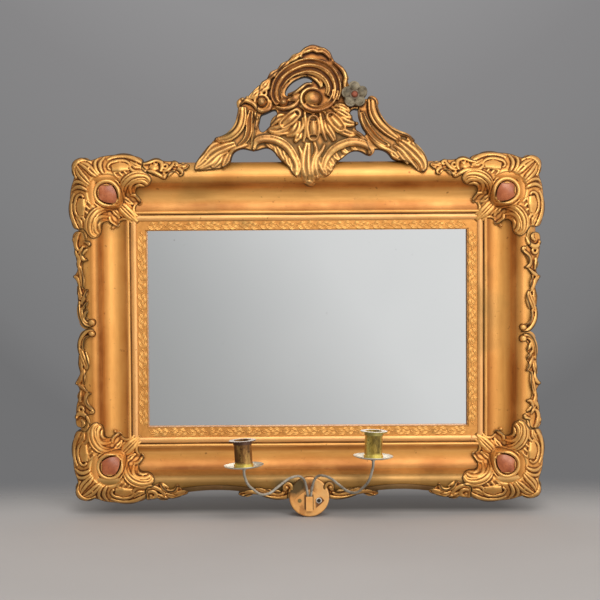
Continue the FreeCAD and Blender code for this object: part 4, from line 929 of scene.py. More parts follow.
# The broad ring round the drop, the thin ridge outside it, the leaf down the mitre, the balls.
MIDDLE_CORNER = [("rib", round_drop(3.8), even(2.1), even(4.6)),
                 ("rib", round_drop(8.2), even(0.8), even(2.6))] + read_drawing("""
leaf | 4 7 2 | 1 3.4 1 | -247 167, -239 158.5, -231 150.5, -221.5 141
rib | .8 1.3 .8 | 2.4 5 2 | -247 167, -239 158.5, -231 150.5, -221.5 141
ball | -253 133.5 2.6 2.6 4.2, -216.5 167.5 2.2 2.2 3.6, -302 212 2.4 2.4 4.2, -293 221 2.2 2 4,
    -282 211 1.8 1.8 3.4, -219 185.6 1.4 1.4 2.6
""")
CORNER_TOP = 52.0


def skin_at_corner(x, z):
    return np.maximum(skin_over_rails(x, z), CORNER_TOP) + SKIN_SPARE


corner = carve("corner_carving_top_left", "corner_ornament_top_left",
               HALF_CORNER + over_mitre(HALF_CORNER) + MIDDLE_CORNER,
               ground_at_corner, skin_at_corner)
for place, flips in (("top_right", (-1, 1)), ("bottom_left", (1, -1)), ("bottom_right", (-1, -1))):
    mirrored_copy(corner, "corner_carving_" + place, "corner_ornament_" + place, *flips)

# %% [markdown]
# ## The crest
# The crest is one open carving: a great scroll curls over a hole and ends in a knob, a shell of
# long lobes spreads under it, and two arched scrolls and a leaf stand on the top rail. A carver
# would saw the outline and the holes first, then set in the deepest grooves, so the strokes here
# are drawn in the same order: the scroll's ridges, the shell, the arches and the leaf's folds.

# %% Draw the middle of the crest
CREST_SKIN = [(182, 44), (199, 58), (284, 58), (376, 47)]
CREST_DEPTH = [(206, 6.0), (226, 10.5), (284, 10.5), (376, 10.0)]


def skin_of_crest(x, z):
    return np.interp(z, *zip(*CREST_SKIN))


def ground_of_crest(x, z):
    return skin_of_crest(x, z) - np.interp(z, *zip(*CREST_DEPTH))


def lobe_rim(x0, z0, x1, z1, radius):
    """A closed outline round a long lobe, from one end to the other."""
    long = math.dist((x0, z0), (x1, z1))
    ux, uz = radius * (x1 - x0) / long, radius * (z1 - z0) / long
    half_turn = ((0, -1), (-0.7, -0.7), (-1, 0), (-0.7, 0.7), (0, 1))
    points = [(x + end * (along * ux - across * uz), z + end * (along * uz + across * ux))
              for x, z, end in ((x0, z0, 1), (x1, z1, -1)) for along, across in half_turn]
    return points + points[:1]


def shell_lobe(x0, z0, x1, z1, radius):
    """One lobe of the shell: a raised rim with a rounded pad inside."""
    middle = (x0 * 0.5 + x1 * 0.5, z0 * 0.5 + z1 * 0.5)
    return [("rib", lobe_rim(x0, z0, x1, z1, radius), even(1.3), even(5.5)),
            ("rib", [(x0, z0), middle, (x1, z1)],
             (radius * 0.45, radius * 0.62, radius * 0.55), (3.2, 4.6, 3.6))]


GREAT_SCROLL = read_drawing("""
# The two channels of the scroll, with a bright ridge on either side of each.
trough | 3.4 4.6 4 | 9 9.5 8 | -36 291, -41.5 300, -41.5 311, -37.5 322, -30 331.5, -17 340, 0 346,
    14 345, 26.5 340, 35 331.5, 40 320, 41 308, 38 297
trough | 2.6 4.4 3.6 | 7 8.5 7 | -31.5 294, -34.5 306, -30 319, -21 328.5, -8 335, 3 337.2,
    14 335.5, 24 329.5, 30.8 320.5, 33 310, 30 301
rib | 0.9 1.3 0.9 | 7 8 6 | -14 329, -3 331, 7 331, 17 327, 24.5 319.5, 27 310.5, 24 303
leaf | 1.4 3 1.6 | 3 6 4 | 2 329, 10 326.5, 17 321, 20.5 313
# The volute: the outer channel narrows as it runs under the broad smooth knob and round it.
trough | 4 3.4 2.2 | 8 8.8 8.8 | 38 309, 36 301, 31 293.5, 23 288, 14 286, 5.5 287.5, -1 292.5
rib | 1 1.4 1 | 8.5 9.2 8 | 39 300, 33 290.5, 25 285.3, 14 282.6, 3 284.4, -4.5 291, -6.6 300,
    -2.5 308, 6.5 312, 15.5 310.5
rib | 1.2 2 0.9 | 2 4 2 | -24 304, -14 307, -6 313, 1 318, 8 318
pad | 1.6 3.4 1.6 | 2 4 2 | -23 297, -14 299.5, -8 304
""")
RUFFLE = read_drawing("""
leaf | 1.2 3.4 1.2 | 3 4.8 2.5 | -73 298.5, -66 304.5, -59 312.5
leaf | 1.2 3.2 1.2 | 3 5 2.5 | -61 310.5, -54.5 318, -47 325
leaf | 1.2 3.4 1.2 | 3 5 2.5 | -51 320.5, -43 330.5, -33.5 337.5
leaf | 1.2 3.2 1.2 | 3 5 2.5 | -38 333.5, -29.5 341.5, -20 348.5
leaf | 1.2 3.4 1.2 | 3 5 2.5 | -24.5 345, -14.5 352.5, -4 359
leaf | 1.2 3.6 1.4 | 3 5 3 | -9 356, 1 362, 11 364, 19 361
leaf | 1.4 3.4 1.4 | 3 5 3 | 12 361.5, 21.5 361.5, 28.5 356.5, 32 350
rib | 0.9 1.5 0.9 | 3 4.6 3 | 0 360, 8 362, 15 359.5, 23 359, 28 354
rib | 1.2 2.3 1.4 | 3 4.4 3 | 36 346, 43 340, 49 333.5, 51.5 326, 50 317, 51 309
leaf | 1.5 3.6 1 | 2 4 2 | -66 303, -58 310, -51 316, -46 325
ring | 1.1 | 3.4 | -54.5 306.5 3.4 8
rib | 0.8 1.5 0.8 | 2 3.6 2 | -60 316, -55 312, -49 312, -47 318
ring | 1.3 | 3.2 | -57.5 294.5 9.2
rib | 1 1.7 0.9 | 2 3.4 2 | -72 300, -66 300, -62 304
rib | 1.2 2.2 1.2 | 2 4.4 3 | -66 286, -58 283, -50 284, -46 289, -46 297
rib | 1 2.2 1 | 2 3.6 2 | -40 289, -30 286, -20 288, -12 293, -8 298
""")
SHELL = (shell_lobe(-13, 279, -29, 266, 5.2) + shell_lobe(9, 270, 9, 251, 6.4)
         + shell_lobe(32, 275, 44.5, 261.5, 5.4) + read_drawing("""
leaf | 2.5 5.4 1.4 | 2 4.2 2 | -18 268, -30 261, -41 258, -50 259.5
leaf | 2 4.2 1.4 | 1.5 3.6 2 | -24 276, -33 275, -41 270, -46 264
rib | 0.8 1.5 0.8 | 2 4.4 2 | -49 257, -41 253.5, -31 253, -20 256
leaf | 2.5 5 1.6 | 2 4 2 | -10 270, -12 262, -17 255, -26 251
rib | 1 1.7 0.9 | 2 4.8 2 | -5 274, -4 264, -9 256, -17 251.5
rib | 1 2 1 | 2 4.6 2 | -2 282, -1 268, -1 254, -4 243
leaf | 1.5 3.8 2.2 | 2 4.6 3 | -6 257, -10 250, -14 244
rib | 1 2.2 1.2 | 2 4.6 3 | 18 280, 19.5 267, 22 254, 26 244
leaf | 1.8 4 2.2 | 2 4.4 3 | 24 272, 28 260, 34 250, 36.5 243.5
rib | 0.9 1.6 0.9 | 2 4.8 3 | 23 283, 27 276, 32 267, 39 257, 46 253
leaf | 1.8 4.2 1.4 | 2 4.2 2 | 40 262, 48 256, 57 252.5, 64 252
leaf | 1.8 4.4 1.8 | 2 4.6 3 | 38 277, 46 271, 55 266.5, 65 266
leaf | 1.6 3.8 1.4 | 2 4.2 2 | 37 284, 45 281, 53 276.5, 60 274
leaf | 1.4 3.2 1.2 | 2 4 2 | 37 290, 45 289, 52 285.5, 57 281.5
rib | 0.9 1.6 0.9 | 2 4.2 2 | 22 287, 27 288.5, 33 288, 37 283
rib | 1.2 2.2 1.2 | 2 3.8 2 | 60 259, 66 254, 72 249.5, 79 244
rib | 1 2 1 | 2 3.8 2 | -8 290, 2 283, 12 281.5, 22 282
"""))
ARCHES = read_drawing("""
band | 3 5.4 3.4 | 3 7.4 7 | -12.5 201, -11.5 213, -17 226, -25.5 237.2, -36 244, -48 247, -60 246,
    -67 241, -68.5 234
band | 3.4 5.4 3 | 7 7.4 3 | 81.5 227, 84.5 231.5, 80 237, 71 241, 58 242.3, 44 238.3, 32 230.5,
    24.5 220, 21 206
leaf | 1.2 3 1.4 | 1.5 3 1.5 | -52 242, -47 237, -43 233
leaf | 1.4 3.8 1.8 | 1.5 3.4 1.5 | -42 240, -38 232, -36 224
leaf | 1.4 3.8 2 | 1.5 3.4 1.5 | -33 236, -31 227, -27 219
leaf | 1.4 3.4 2 | 1.5 3.4 1.5 | -24 228, -24 219, -20 210
leaf | 1.4 3 1.8 | 1.5 3 1.5 | -17 216, -18 207, -13.5 200
leaf | 1.4 3.6 2.2 | 1.5 3.2 2 | 30 226, 32 217, 37 212
leaf | 1.4 3.4 2 | 1.5 3.2 2 | 27 219, 29 210, 33 205
leaf | 1.4 3.4 2 | 1.5 3.2 2 | 36 232, 38 224, 43 219
leaf | 1.2 2.8 1.6 | 1.5 2.8 1.5 | 46 237, 49 231, 55 228
leaf | 1.2 2.6 1.4 | 1.5 2.6 1.5 | 58 239, 61 234, 67 232
""")
FOOT_LEAF = read_drawing("""
leaf | 2.6 5.6 4.2 | 2.5 4.6 2.5 | 2 242, 0 228, -1 212, 2 190
rib | 1 2.2 1.4 | 2.5 4.4 2 | -10 238, -6 226, -5 210, -4 193
rib | 1.2 2.4 1.6 | 2.5 4.6 2 | 10 243, 13 232, 9 220, 7 205, 9 191
rib | 1.2 2.4 1.4 | 2.5 4.6 2 | 24 240, 20 231, 13 222, 12 210, 15 198
leaf | 1.6 3.8 2 | 2 4 2 | 16 226, 19 215, 22 206, 26 200
leaf | 1 2.4 1.4 | 3 5 3 | 4 214, 5 206, 8 200
ball | -29.5 294.5 6.4 6 10, -57.5 294.5 6.2 6.2 9, 8.6 298.6 11.6 10.2 11.5, -68.5 234 3.6 3.4 9,
    81.5 227 3.6 3.4 9, 3 189.5 6 4.6 6.5, -13 200.5 3 2.6 5, 25 200.5 3 2.6 5, 14 196 3 3 5.5,
    -7 354 3 2.6 5, 52.5 325 3 4 5, -76 300 3 3 5, 64.5 266 3.2 2.6 5, -13.5 244.5 3 3 6
""")
CREST_CELL = 0.95     # keeps the crest's mesh under 200,000 triangles
carve("crest_carving_middle", "crest_centre",
      GREAT_SCROLL + RUFFLE + SHELL + ARCHES + FOOT_LEAF,
      ground_of_crest, skin_of_crest, CREST_GILDING, CREST_CELL)

# %% Draw the crest's two legs
LEFT_LEG = read_drawing("""
triple | 4.6 5.8 2.6 | 6 6.6 3.5 | -82.5 288, -83.5 275, -87 263, -95.5 253, -107 247.3, -117 246.5
rib | 1.6 2.6 1.2 | 4.5 6 4.5 | -82 299.5, -86.5 294, -87.5 287
rib | 1.4 2.4 1.4 | 5 6 4 | -86 291, -80 296.5, -72 294.5, -66 290, -63 284
trough | 2.4 4.2 2.2 | 3 4.2 2 | -71 284, -73.5 270, -74.5 256, -78.5 246, -87 238.5
rib | 1.2 2.6 1.4 | 2 3.6 2 | -66 281, -64 272, -66.5 262, -68.5 250, -71 241
rib | 1.2 2.4 1.2 | 2 3.8 1.5 | -76 240, -86 236, -97 230, -99 222
leaf | 3 5.2 1.4 | 3 4.6 2 | -92 241, -106 236, -122 228, -134 216, -144 209
rib | 1.2 2.3 0.9 | 2 4.2 2 | -112 243, -122 239, -131 229, -139 219, -144 210
rib | 1.2 2.2 0.9 | 2 4 2 | -102 231, -113 225, -124 215, -138 208.5
leaf | 2 4.6 2.4 | 2 3.8 2 | -99 229, -103 220, -107 212
leaf | 1.6 3.6 1.6 | 2 3.6 2 | -108 228, -114 219, -122 210
ring | 1 | 4.2 | -128.5 222.5 2.6 8
ball | -116 246.5 3.2 3 8, -63.5 274 3 3.4 6, -65.5 261 2.6 3 5.5, -82 298 3.4 3 8,
    -107 212 3 2.8 5, -143 209 2.4 2.2 5
""")
RIGHT_LEG = read_drawing("""
triple | 5.2 6.4 3 | 6 6.6 4 | 85.5 296, 87 282, 93.5 269, 104 258, 114 250, 121 245
rib | 1.3 2 1.3 | 6 7.4 6 | 79.5 293, 83 299, 89 297, 92.5 290
rib | 1.2 2.2 1.4 | 5 6 4 | 93 281, 98 270, 108 260.5, 120 254, 131 250, 138 244.5
trough | 2.2 4.4 2.6 | 3 4.6 3 | 72 281, 76.5 267, 84 254.5, 94 244.5, 106 237.5
rib | 1.2 2 1.2 | 2 3.6 2 | 67.5 284, 70 272, 75 261, 80 252
rib | 1.4 2.4 1.2 | 2 3.6 2 | 82 250, 88 243, 97 236, 108 231, 116 226
leaf | 3 5.6 3 | 3 4.8 2.5 | 118 245, 130 236, 142 225, 150 214, 151.5 204
rib | 1.4 2.4 1.4 | 3 4.6 2.5 | 130 246, 140 238, 150 226, 154.5 215, 154 206
rib | 1.2 2.2 1.2 | 2 4 2 | 113 238, 124 230, 134 218, 143 207
leaf | 1.6 3.4 1.8 | 2 3.4 2 | 108 232, 113 226, 119 221
leaf | 1.6 3.6 1.6 | 2 3.8 2 | 118 231, 126 222, 132 214
rib | 1 1.8 1.6 | 2.5 4 4 | 122 239, 131 240, 137 244
ball | 120.5 245 3.4 3 8, 137.5 244 3 2.8 7, 106 237.5 3.2 3 6.5, 150.5 205 4.2 3.4 5.5,
    84 298 3.2 3 8
""")
for side, leg in (("left", LEFT_LEG), ("right", RIGHT_LEG)):
    carve("crest_carving_" + side + "_leg", "crest_leg_" + side, leg,
          ground_of_crest, skin_of_crest, CREST_GILDING)

# %% [markdown]
# ## The trails along the outer edges
# Thin leafy trails run from each corner towards the middle of its side. On the upright sides
# they end in two balls that face each other across a nick. The right side's trails are the left
# side's turned half round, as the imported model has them, so the left ones are carved and copied.

# %% Carve the trails of the left side
LONG_TRAIL = read_drawing("""
rib | 1.4 2.6 1.2 | 2 4 2 | -296 128, -300 120, -301 110, -297 104
rib | 1.2 2 1.6 | 2 4 3 | -290 116, -285 115, -281 112.5, -283 110
rib | 1.4 2 1.6 | 2 4 3 | -284.5 106, -289 102.5, -292.5 98, -290.5 93, -286.5 91
rib | 1.2 2.4 1.4 | 2 3.8 2 | -302 104, -300 99, -296 94, -297.5 86, -296 79
rib | 0.9 1.6 0.9 | 2 3.6 2 | -290 110, -294 104, -297 97
leaf | 1.4 2.9 1.2 | 2 3.8 2 | -296 84, -294 76, -292 66, -291 54
rib | 1.6 1.9 1 | 3 3.8 2 | -303 70, -299.5 68, -297 62, -296 54
leaf | 1.4 3 1.4 | 2 3.8 2 | -298 58, -296 48, -295 40
rib | 1.6 2 1 | 3 4 2 | -285.5 52, -288 46, -291 40, -294 34
rib | 1.3 1.9 0.9 | 3 4 2 | -284.5 37, -288 33, -292 28
rib | 1.3 2.1 0.9 | 3 4 2 | -284.5 26, -288 22, -291 15
rib | 1.3 2.2 1.6 | 2 4.2 3 | -297 38, -297.5 26, -295 15, -289.5 7.5, -281 6
rib | 0.9 1.4 0.9 | 2 3.6 2 | -293 30, -293 20, -289 12, -284 9.5
ball | -279.5 10.8 5.2 5 8.5, -303.5 70 2 2.2 5, -285.5 92 2 2 5, -285 52 2 2.4 5,
    -282 112 2.2 2 5, -304 118 2.4 3.4 5.5
""")
SHORT_TRAIL = read_drawing("""
rib | 1.6 2.3 1.2 | 3 4.2 2 | -277 0.3, -284 0.5, -290 -3, -295 -10, -298 -20, -297.5 -30
rib | 1 1.7 0.9 | 2 3.8 2 | -283 -7, -289 -10, -292 -18, -292 -26
leaf | 1.4 3 1.6 | 2 4 3 | -296 -24, -292.5 -34, -288.5 -44, -287.5 -50
rib | 1 1.8 1.4 | 2 4 3 | -289 -27, -286 -36, -285.5 -44, -287.5 -50.5
leaf | 1.4 2.8 1.2 | 2 3.8 2 | -297 -32, -296 -44, -295 -56
rib | 1.5 1.9 1 | 3 4 2 | -302.5 -69, -297.5 -66, -294.5 -58, -291 -50
rib | 1.2 1.9 1 | 2 3.8 2 | -301 -70, -295 -73, -290 -77, -287 -80
rib | 1 1.7 0.9 | 2 3.6 2 | -291 -52, -291 -62, -293 -70
rib | 1.6 2.3 1.2 | 3 4.4 3 | -283.5 -81, -288 -84, -289 -90, -286 -97, -280 -103, -279 -106,
    -284 -106.5
rib | 1.2 2.6 1.2 | 2 3.6 2 | -296 -78, -298 -86, -297 -94
ring | 1.3 | 3.4 | -296 -103 3.4 8
rib | 1.8 2.2 1.2 | 3 4.2 2 | -303 -113, -299 -109, -293 -109, -287 -114, -284 -121
rib | 1 2.2 1.2 | 2 3.6 2 | -296 -116, -292 -121, -294 -127
ball | -279.5 -3.8 5 4.2 8.5, -302.5 -69.5 2 1.8 5, -283.5 -81.5 2.4 2.2 5, -303 -114 2.8 2.8 6,
    -280 -104 2.4 2.2 5
""")

TURNED_DOWN = -2.6


def carve_trail(place, drawing, copy_place, *flips_and_shifts):
    """Carves one trail, and sets its mirrored copy in another place."""
    trail = carve("trail_carving_" + place, "edge_trail_" + place, drawing)
    mirrored_copy(trail, "trail_carving_" + copy_place, "edge_trail_" + copy_place,
                  *flips_and_shifts)


carve_trail("left_upper", LONG_TRAIL, "right_lower", -1, -1, 0.0, TURNED_DOWN)
carve_trail("left_lower", SHORT_TRAIL, "right_upper", -1, -1, 0.0, TURNED_DOWN)

# %% Carve the trails of the top and bottom
TOP_TRAIL = read_drawing("""
rib | 1.4 2.2 1.3 | 2 4.2 3 | -213 216, -204 218, -196 221, -189 218.5, -187 212, -189 205.5
pad | 2.4 4.2 2 | 1 2.4 1 | -203 213, -197 211, -192 211
rib | 0.9 1.4 1 | 2 3.4 2.5 | -198 218.5, -196 215, -192.5 215.5
rib | 1.2 2 1.2 | 2 3.8 2 | -208 206, -199 205.5, -191 201.5, -184 197
rib | 1 1.8 1 | 2 3.8 2 | -186 205.5, -180 207.5, -175 212, -172 217
ring | 1.1 | 3.4 | -183 212.3 2.8 8
rib | 1 2 1 | 2 4 2 | -186 203, -180 200.5, -176 203.5, -170 207
rib | 1.4 1.9 1.2 | 3 4.2 3 | -167 209.5, -162 206.5, -160 203, -163 200
leaf | 1.4 3 1.2 | 2 3.8 2 | -167 212, -160 214, -153 213.5
rib | 1 1.6 1 | 2 4 3 | -174 218.5, -170 218, -168 214.5, -171 212.5
rib | 0.9 1.6 0.9 | 2 3.4 2 | -160 210, -156 209, -154 211
ball | -184 198 2.6 3 5, -163.5 200.3 2 1.8 5, -153 213 2 2 4.5
""")
BOTTOM_TRAIL = read_drawing("""
rib | 1.3 2.2 1.3 | 2 4.2 2 | -213 -203, -204 -204, -198 -206, -190 -212, -187 -219
rib | 1.6 2 1.2 | 3 4.2 3 | -193 -199.5, -190.5 -203, -188 -208, -182 -210
rib | 1.6 2 1.2 | 3 4.2 3 | -170.5 -203, -173 -208, -179 -210.5, -185 -209
rib | 0.9 1.4 0.9 | 2 3.4 2 | -190 -199.5, -186 -203, -182 -206
leaf | 1.8 3.6 1.6 | 2 3.8 2 | -200 -214, -192 -220, -184 -222
leaf | 1.6 3 1.4 | 2 3.8 2 | -186 -215, -178 -218, -171 -218
rib | 1.2 2.2 1 | 2 3.8 2 | -178 -214, -170 -213, -164 -211, -158 -209
rib | 1.4 2.2 1.2 | 2 4 3 | -210 -212, -203 -211, -199 -215, -202 -220, -208 -220
rib | 1 1.8 0.9 | 2 3.4 1.5 | -177 -220, -169 -217, -162 -213
ball | -192.5 -199.8 2.2 2 5, -170.5 -203 2.2 2 5, -187 -219.5 2.6 2.4 5, -206 -217 2.4 2.2 4.6
""")
TOP_SHIFT = 8.0
carve_trail("top_left", TOP_TRAIL, "top_right", -1, 1, TOP_SHIFT)
carve_trail("bottom_left", BOTTOM_TRAIL, "bottom_right", -1)

# %% [markdown]
# ## The scrolls beside the foot boss
# On each side of the round boss a C-scroll opens away from it, with a leafy fringe along its
# back that thins out under the sawn arch.

# %% Carve the right scroll and copy it
APRON = read_drawing("""
rib | 1.2 2.3 1.6 | 2 4.6 4 | 62 -217, 46 -221.5, 32 -221, 24.5 -217.5, 21.5 -211.5, 22 -204.5,
    26.5 -200.5, 31.5 -202.5, 32 -207.5, 28.5 -210
rib | 0.8 1.4 0.8 | 2 3.6 2 | 58 -214, 46 -216, 36 -216.5, 31 -214
leaf | 1 2.4 1.2 | 2 3.4 2 | 34 -215, 40 -212.5, 46 -211.5
leaf | 1 2.4 1.2 | 2 3.4 2 | 44 -215, 51 -211.5, 57 -209.5
leaf | 1 2.4 1.2 | 2 3.4 2 | 54 -214, 61 -210, 68 -207.5
rib | 1.4 2.2 1 | 2 3.8 2 | 58 -217, 70 -213, 80 -211.5, 90 -213
leaf | 1.2 2.4 1 | 2 3.6 2 | 72 -214, 79 -216.5, 87 -218
ball | 28.5 -206.5 3 3 6, 86 -217.5 2.4 2 4.5, 68.5 -207.5 1.8 1.6 4
""")
apron = carve("apron_carving_right", "apron_scroll_right", APRON)
mirrored_copy(apron, "apron_carving_left", "apron_scroll_left", -1)

# %% [markdown]
# ## The pressed strip at the sight edge
# A narrow strip of pressed composition runs round the glass: a winding stem with long leaves and
# small flowers, repeated every few centimetres from one mould. One length of the pattern is drawn
# flat, then copied end to end along each side, where it stands up from the plain strip.

# %% Draw one length of the running leaf
STRIP_UNIT = 24.2
STRIP_FRONT = 31.4
STRIP_PROUD = 0.9
STRIP_START = 1.4
RUNNING_LEAF = read_drawing("""
rib | .45 .45 .45 | .6 .6 .6 | 0 4.6, 6 6.6, 12 4.6, 18 2.6, 24.2 4.6
rib | .3 .42 .3 | .5 .7 .5 | 6 6.4, 8 4.4, 10.4 3.2
rib | .3 .42 .3 | .5 .7 .5 | 18 2.8, 20 5.2, 22.4 6.4
leaf | .7 1.6 .4 | .4 1 .3 | .5 5.8, 4 8.4, 9 9
leaf | .7 1.6 .4 | .4 1 .3 | 2 3.8, 6 1.6, 10.6 .8
leaf | .7 1.6 .4 | .4 1 .3 | 8 6.4, 12.4 8.6, 17.4 8.4
leaf | .7 1.5 .4 | .4 1 .3 | 12.6 3.4, 16 .9, 21 .9
leaf | .7 1.5 .4 | .4 1 .3 | 13 4.8, 17.2 6.2, 20.6 8.8
leaf | .5 1.2 .4 | .4 .9 .3 | 7 3.2, 9.4 5.4, 12.6 6.6
ball | 23.2 5 1.2 1.2 1.5, 21.6 3.2 .8 .8 1.2, 24.6 7 .8 .8 1.2, 10.9 4.9 1 1 1.4
""")
unit = join("strip_unit", draw(RUNNING_LEAF))
UNIT_POINTS = positions(unit)
UNIT_FACES = [tuple(polygon.vertices) for polygon in unit.data.polygons]
bpy.data.objects.remove(unit)
print("one length of running leaf has", len(UNIT_FACES), "faces")

# %% Lay it along the four sides
GLASS_HALF = {"wide": 210.0, "high": 129.0}
STRIP_WIDTH = 10.0
END_GAP = 2.0
SMOOTH_ANGLE = math.radians(50)


def along_side(side, run, out, high):
    """A point so far along a side, out from the glass and proud of the strip, in mm."""
    edge = GLASS_HALF["high" if side in ("top", "bottom") else "wide"] + STRIP_START + out
    forward = -(STRIP_FRONT + STRIP_PROUD * high)
    return {"top": (run, forward, edge), "bottom": (-run, forward, -edge),
            "left": (-edge, forward, run), "right": (edge, forward, -run)}[side]


def leaves_along(side, reach, count):
    """The running leaf, laid end to end along a side; every other length is turned over."""
    stretch = reach / (count * STRIP_UNIT)
    points, faces = [], []
    for k in range(count):
        for s, t, high in UNIT_POINTS:
            run = (s + k * STRIP_UNIT) * stretch - reach / 2
            place = along_side(side, run, t if k % 2 else STRIP_WIDTH - t, high)
            points.append([value * MM for value in place])
        faces.extend(tuple(k * len(UNIT_POINTS) + i for i in face) for face in UNIT_FACES)
    mesh = bpy.data.meshes.new("leaves_" + side)
    mesh.from_pydata(points, [], faces)
    shape = bmesh.new()
    shape.from_mesh(mesh)
    bmesh.ops.recalc_face_normals(shape, faces=shape.faces)
    shape.to_mesh(mesh)
    shape.free()
    leaves = bpy.data.objects.new("leaves_" + side, mesh)
    bpy.context.collection.objects.link(leaves)
    return leaves


def pressed_strip(side):
    node_name = "sight_strip_" + side
    plain = copy_of(NODES[node_name])
    reach = 2 * (GLASS_HALF["wide" if side in ("top", "bottom") else "high"] - END_GAP)
    count = round(reach / STRIP_UNIT)
    leaves = leaves_along(side, reach, count)
    leaves.matrix_world = plain.matrix_world
    strip = join("strip_carved_" + side, [plain, leaves])
    rise = -positions(strip)[:, 1] - STRIP_FRONT
    mark(strip, "hollow", np.clip(0.53 - 0.22 * rise, 0.3, 0.53))
    mark(strip, "hollow_broad", rise * 0 + 0.5)
    mark(strip, "rim", rise * 0 + 1.0)
    pick(strip)
    bpy.ops.object.shade_smooth_by_angle(angle=SMOOTH_ANGLE)
    clad(strip, CARVED_GILDING)
    stand_for(strip, node_name)
    print(strip.name, "lengths:", count)


for side in ("top", "bottom", "left", "right"):
    pressed_strip(side)

# %% [markdown]
# ## The bare rosette
# Beside the scroll sits a five-petalled rosette that never took its gilding back after a repair:
# grey composition, dark in its folds, with a red-brown boss.

# %% Mix its finish and carve it
ROSETTE = (62.5, 303.0)
BOSS_REACH = 5.2
ROSETTE_GROUND = 53.5
ROSETTE_TOP = 60.0
PETAL_COUNT = 5


def bare_composition():
    recipe, clouds, tone = mottled("composition_bare", 70.0, [
        (0.34, 84, 74, 56), (0.5, 128, 116, 92), (0.66, 162, 150, 126)], 4.0, 0.65)
    away = recipe.sum("DIVIDE", recipe.away_from(*ROSETTE), 2 * BOSS_REACH * MM)
    tone = recipe.cover(tone, rgb(150, 78, 52), away, (0.4, 1.0), (0.5, 0.0))
    fine = recipe.attribute("hollow")
    tone = recipe.cover(tone, rgb(66, 48, 28), fine, (0.5, 0.0), (0.66, 0.85))
    return recipe.finish(tone, 0.6, 0.0, clouds, 0.3, 0.0005)


def petal(turn):
    """A petal's pad with a raised rim round its end, pointing at an angle."""
    ux, uz = math.cos(math.radians(turn)), math.sin(math.radians(turn))

    def at(out, aside):
        return (ROSETTE[0] + out * ux - aside * uz, ROSETTE[1] + out * uz + aside * ux)

    return [("pad", [at(5.5, 0), at(10, 0), at(15.5, 0)], (4.0, 6.8, 4.6), (3.0, 4.6, 1.6)),
            ("rib", [at(8, 5.4), at(12, 6.2), at(15.4, 3.0), at(16, -2.4)],
             (0.7, 1.1, 0.7), (2.0, 4.4, 2.5))]


FLOWER = [stroke for k in range(PETAL_COUNT) for stroke in petal(90 + 360 / PETAL_COUNT * k)]
FLOWER += [("rib", loop(*ROSETTE, BOSS_REACH), even(0.9), even(4.5)),
           ("ball", (*ROSETTE, 4.2, 4.2, 8.4))]
carve("crest_flower", "crest_rosette", FLOWER, lambda x, z: x * 0 + ROSETTE_GROUND,
      lambda x, z: x * 0 + ROSETTE_TOP, bare_composition())

# %% [markdown]
# ## The foot boss and its bracket
# The round boss, the lozenge plate and the keeper were gilded over together, so only their edges
# tell them apart. Those edges are darkened with painted shade, and the keeper's shadow is painted
# on the plate round it. Round the right screw the gold has been scraped off to brown wood, and
# its washer was left white. The bead along the sawn arches is gilded like the carving.

# %% Gild the boss, plate and keeper
WORN_PATCH = (15.5, -227.0)
WORN_REACH = 9.5
KEEPER_MIDDLE = (0.5, -226.5)
KEEPER_HALF = (4.5, 9.5)
BOSS_SHADES = [((1, -206), 12.0, rgb(124, 66, 24)), ((-18, -202), 19.0, rgb(60, 54, 26))]


def out_of_keeper(recipe):
    """How far a point lies outside the keeper's outline."""
    outs = []
    for axis, middle, half in zip("XZ", KEEPER_MIDDLE, KEEPER_HALF):
        aside = recipe.sum("ABSOLUTE", recipe.sum("SUBTRACT", recipe.along(axis), middle * MM))
        outs.append(recipe.sum("SUBTRACT", aside, half * MM))
    return recipe.sum("MAXIMUM", *outs)


def foot_gilding(name, scraped=False, shaded=False, edge_shade=0.8):
    recipe, clouds, tone = mottled(name, 34.0, [(0.3, 236, 164, 88), (0.5, 252, 186, 108),
                                                (0.7, 255, 202, 132)])
    for spot, reach, colour in BOSS_SHADES if shaded else []:
        near = recipe.ragged(recipe.away_from(*spot), 110.0, 0.01)
        near = recipe.sum("DIVIDE", near, 2 * reach * MM)
        tone = recipe.cover(tone, colour, near, (0.4, 0.9), (0.66, 0.0))
    if scraped:
        patch = recipe.ragged(recipe.away_from(*WORN_PATCH, 0.8), 160.0, 0.006)
        patch = recipe.sum("DIVIDE", patch, 2 * WORN_REACH * MM)
        tone = recipe.cover(tone, rgb(112, 62, 24), patch, (0.44, 0.92), (0.56, 0.0))
        # A painted shadow of the keeper on the plate round it.
        keeper_shadow = recipe.sum("DIVIDE", out_of_keeper(recipe), 4 * MM)
        tone = recipe.cover(tone, rgb(72, 36, 10), keeper_shadow, (0.1, 0.9), (0.6, 0.0))
    cracks = recipe.noise(60.0, 5.0, 0.7, recipe.stretch(1.0, 1.0, 0.35))
    tone = recipe.cover(tone, rgb(170, 98, 42), cracks, (0.6, 0.0), (0.66, 0.5))
    # Painted shade on the edges that turn away from the front.
    front = recipe.facing(0, -1, 0)
    tone = recipe.cover(tone, rgb(92, 48, 16), front, (0.4, edge_shade), (0.9, 0.0))
    return recipe.finish(tone, 0.44, 0.35, clouds, 0.2, 0.0004)


def washer_white():
    recipe, spots, tone = mottled("washer_white", 320.0, [(0.4, 236, 232, 222),
                                                          (0.7, 196, 186, 168)], 3.0)
    return recipe.finish(tone, 0.5, 0.15, spots, 0.1, 0.0002)


dress(foot_gilding("gilding_boss", shaded=True), "roundel")
dress(foot_gilding("gilding_keeper", edge_shade=0.96), "arm_keeper")
dress(foot_gilding("gilding_plate", scraped=True), "bracket_plate")
dress(aged_brass("screw_dull", rgb(204, 184, 128), rgb(160, 136, 84), rgb(88, 72, 40)),
      "bracket_screw_left")
dress(washer_white(), "bracket_washer")
dress(IRON, "bracket_screw_right")
dress(CARVED_GILDING, "edge_bead_left", "edge_bead_right")
print("foot gilded; materials in all:", len(bpy.data.materials))

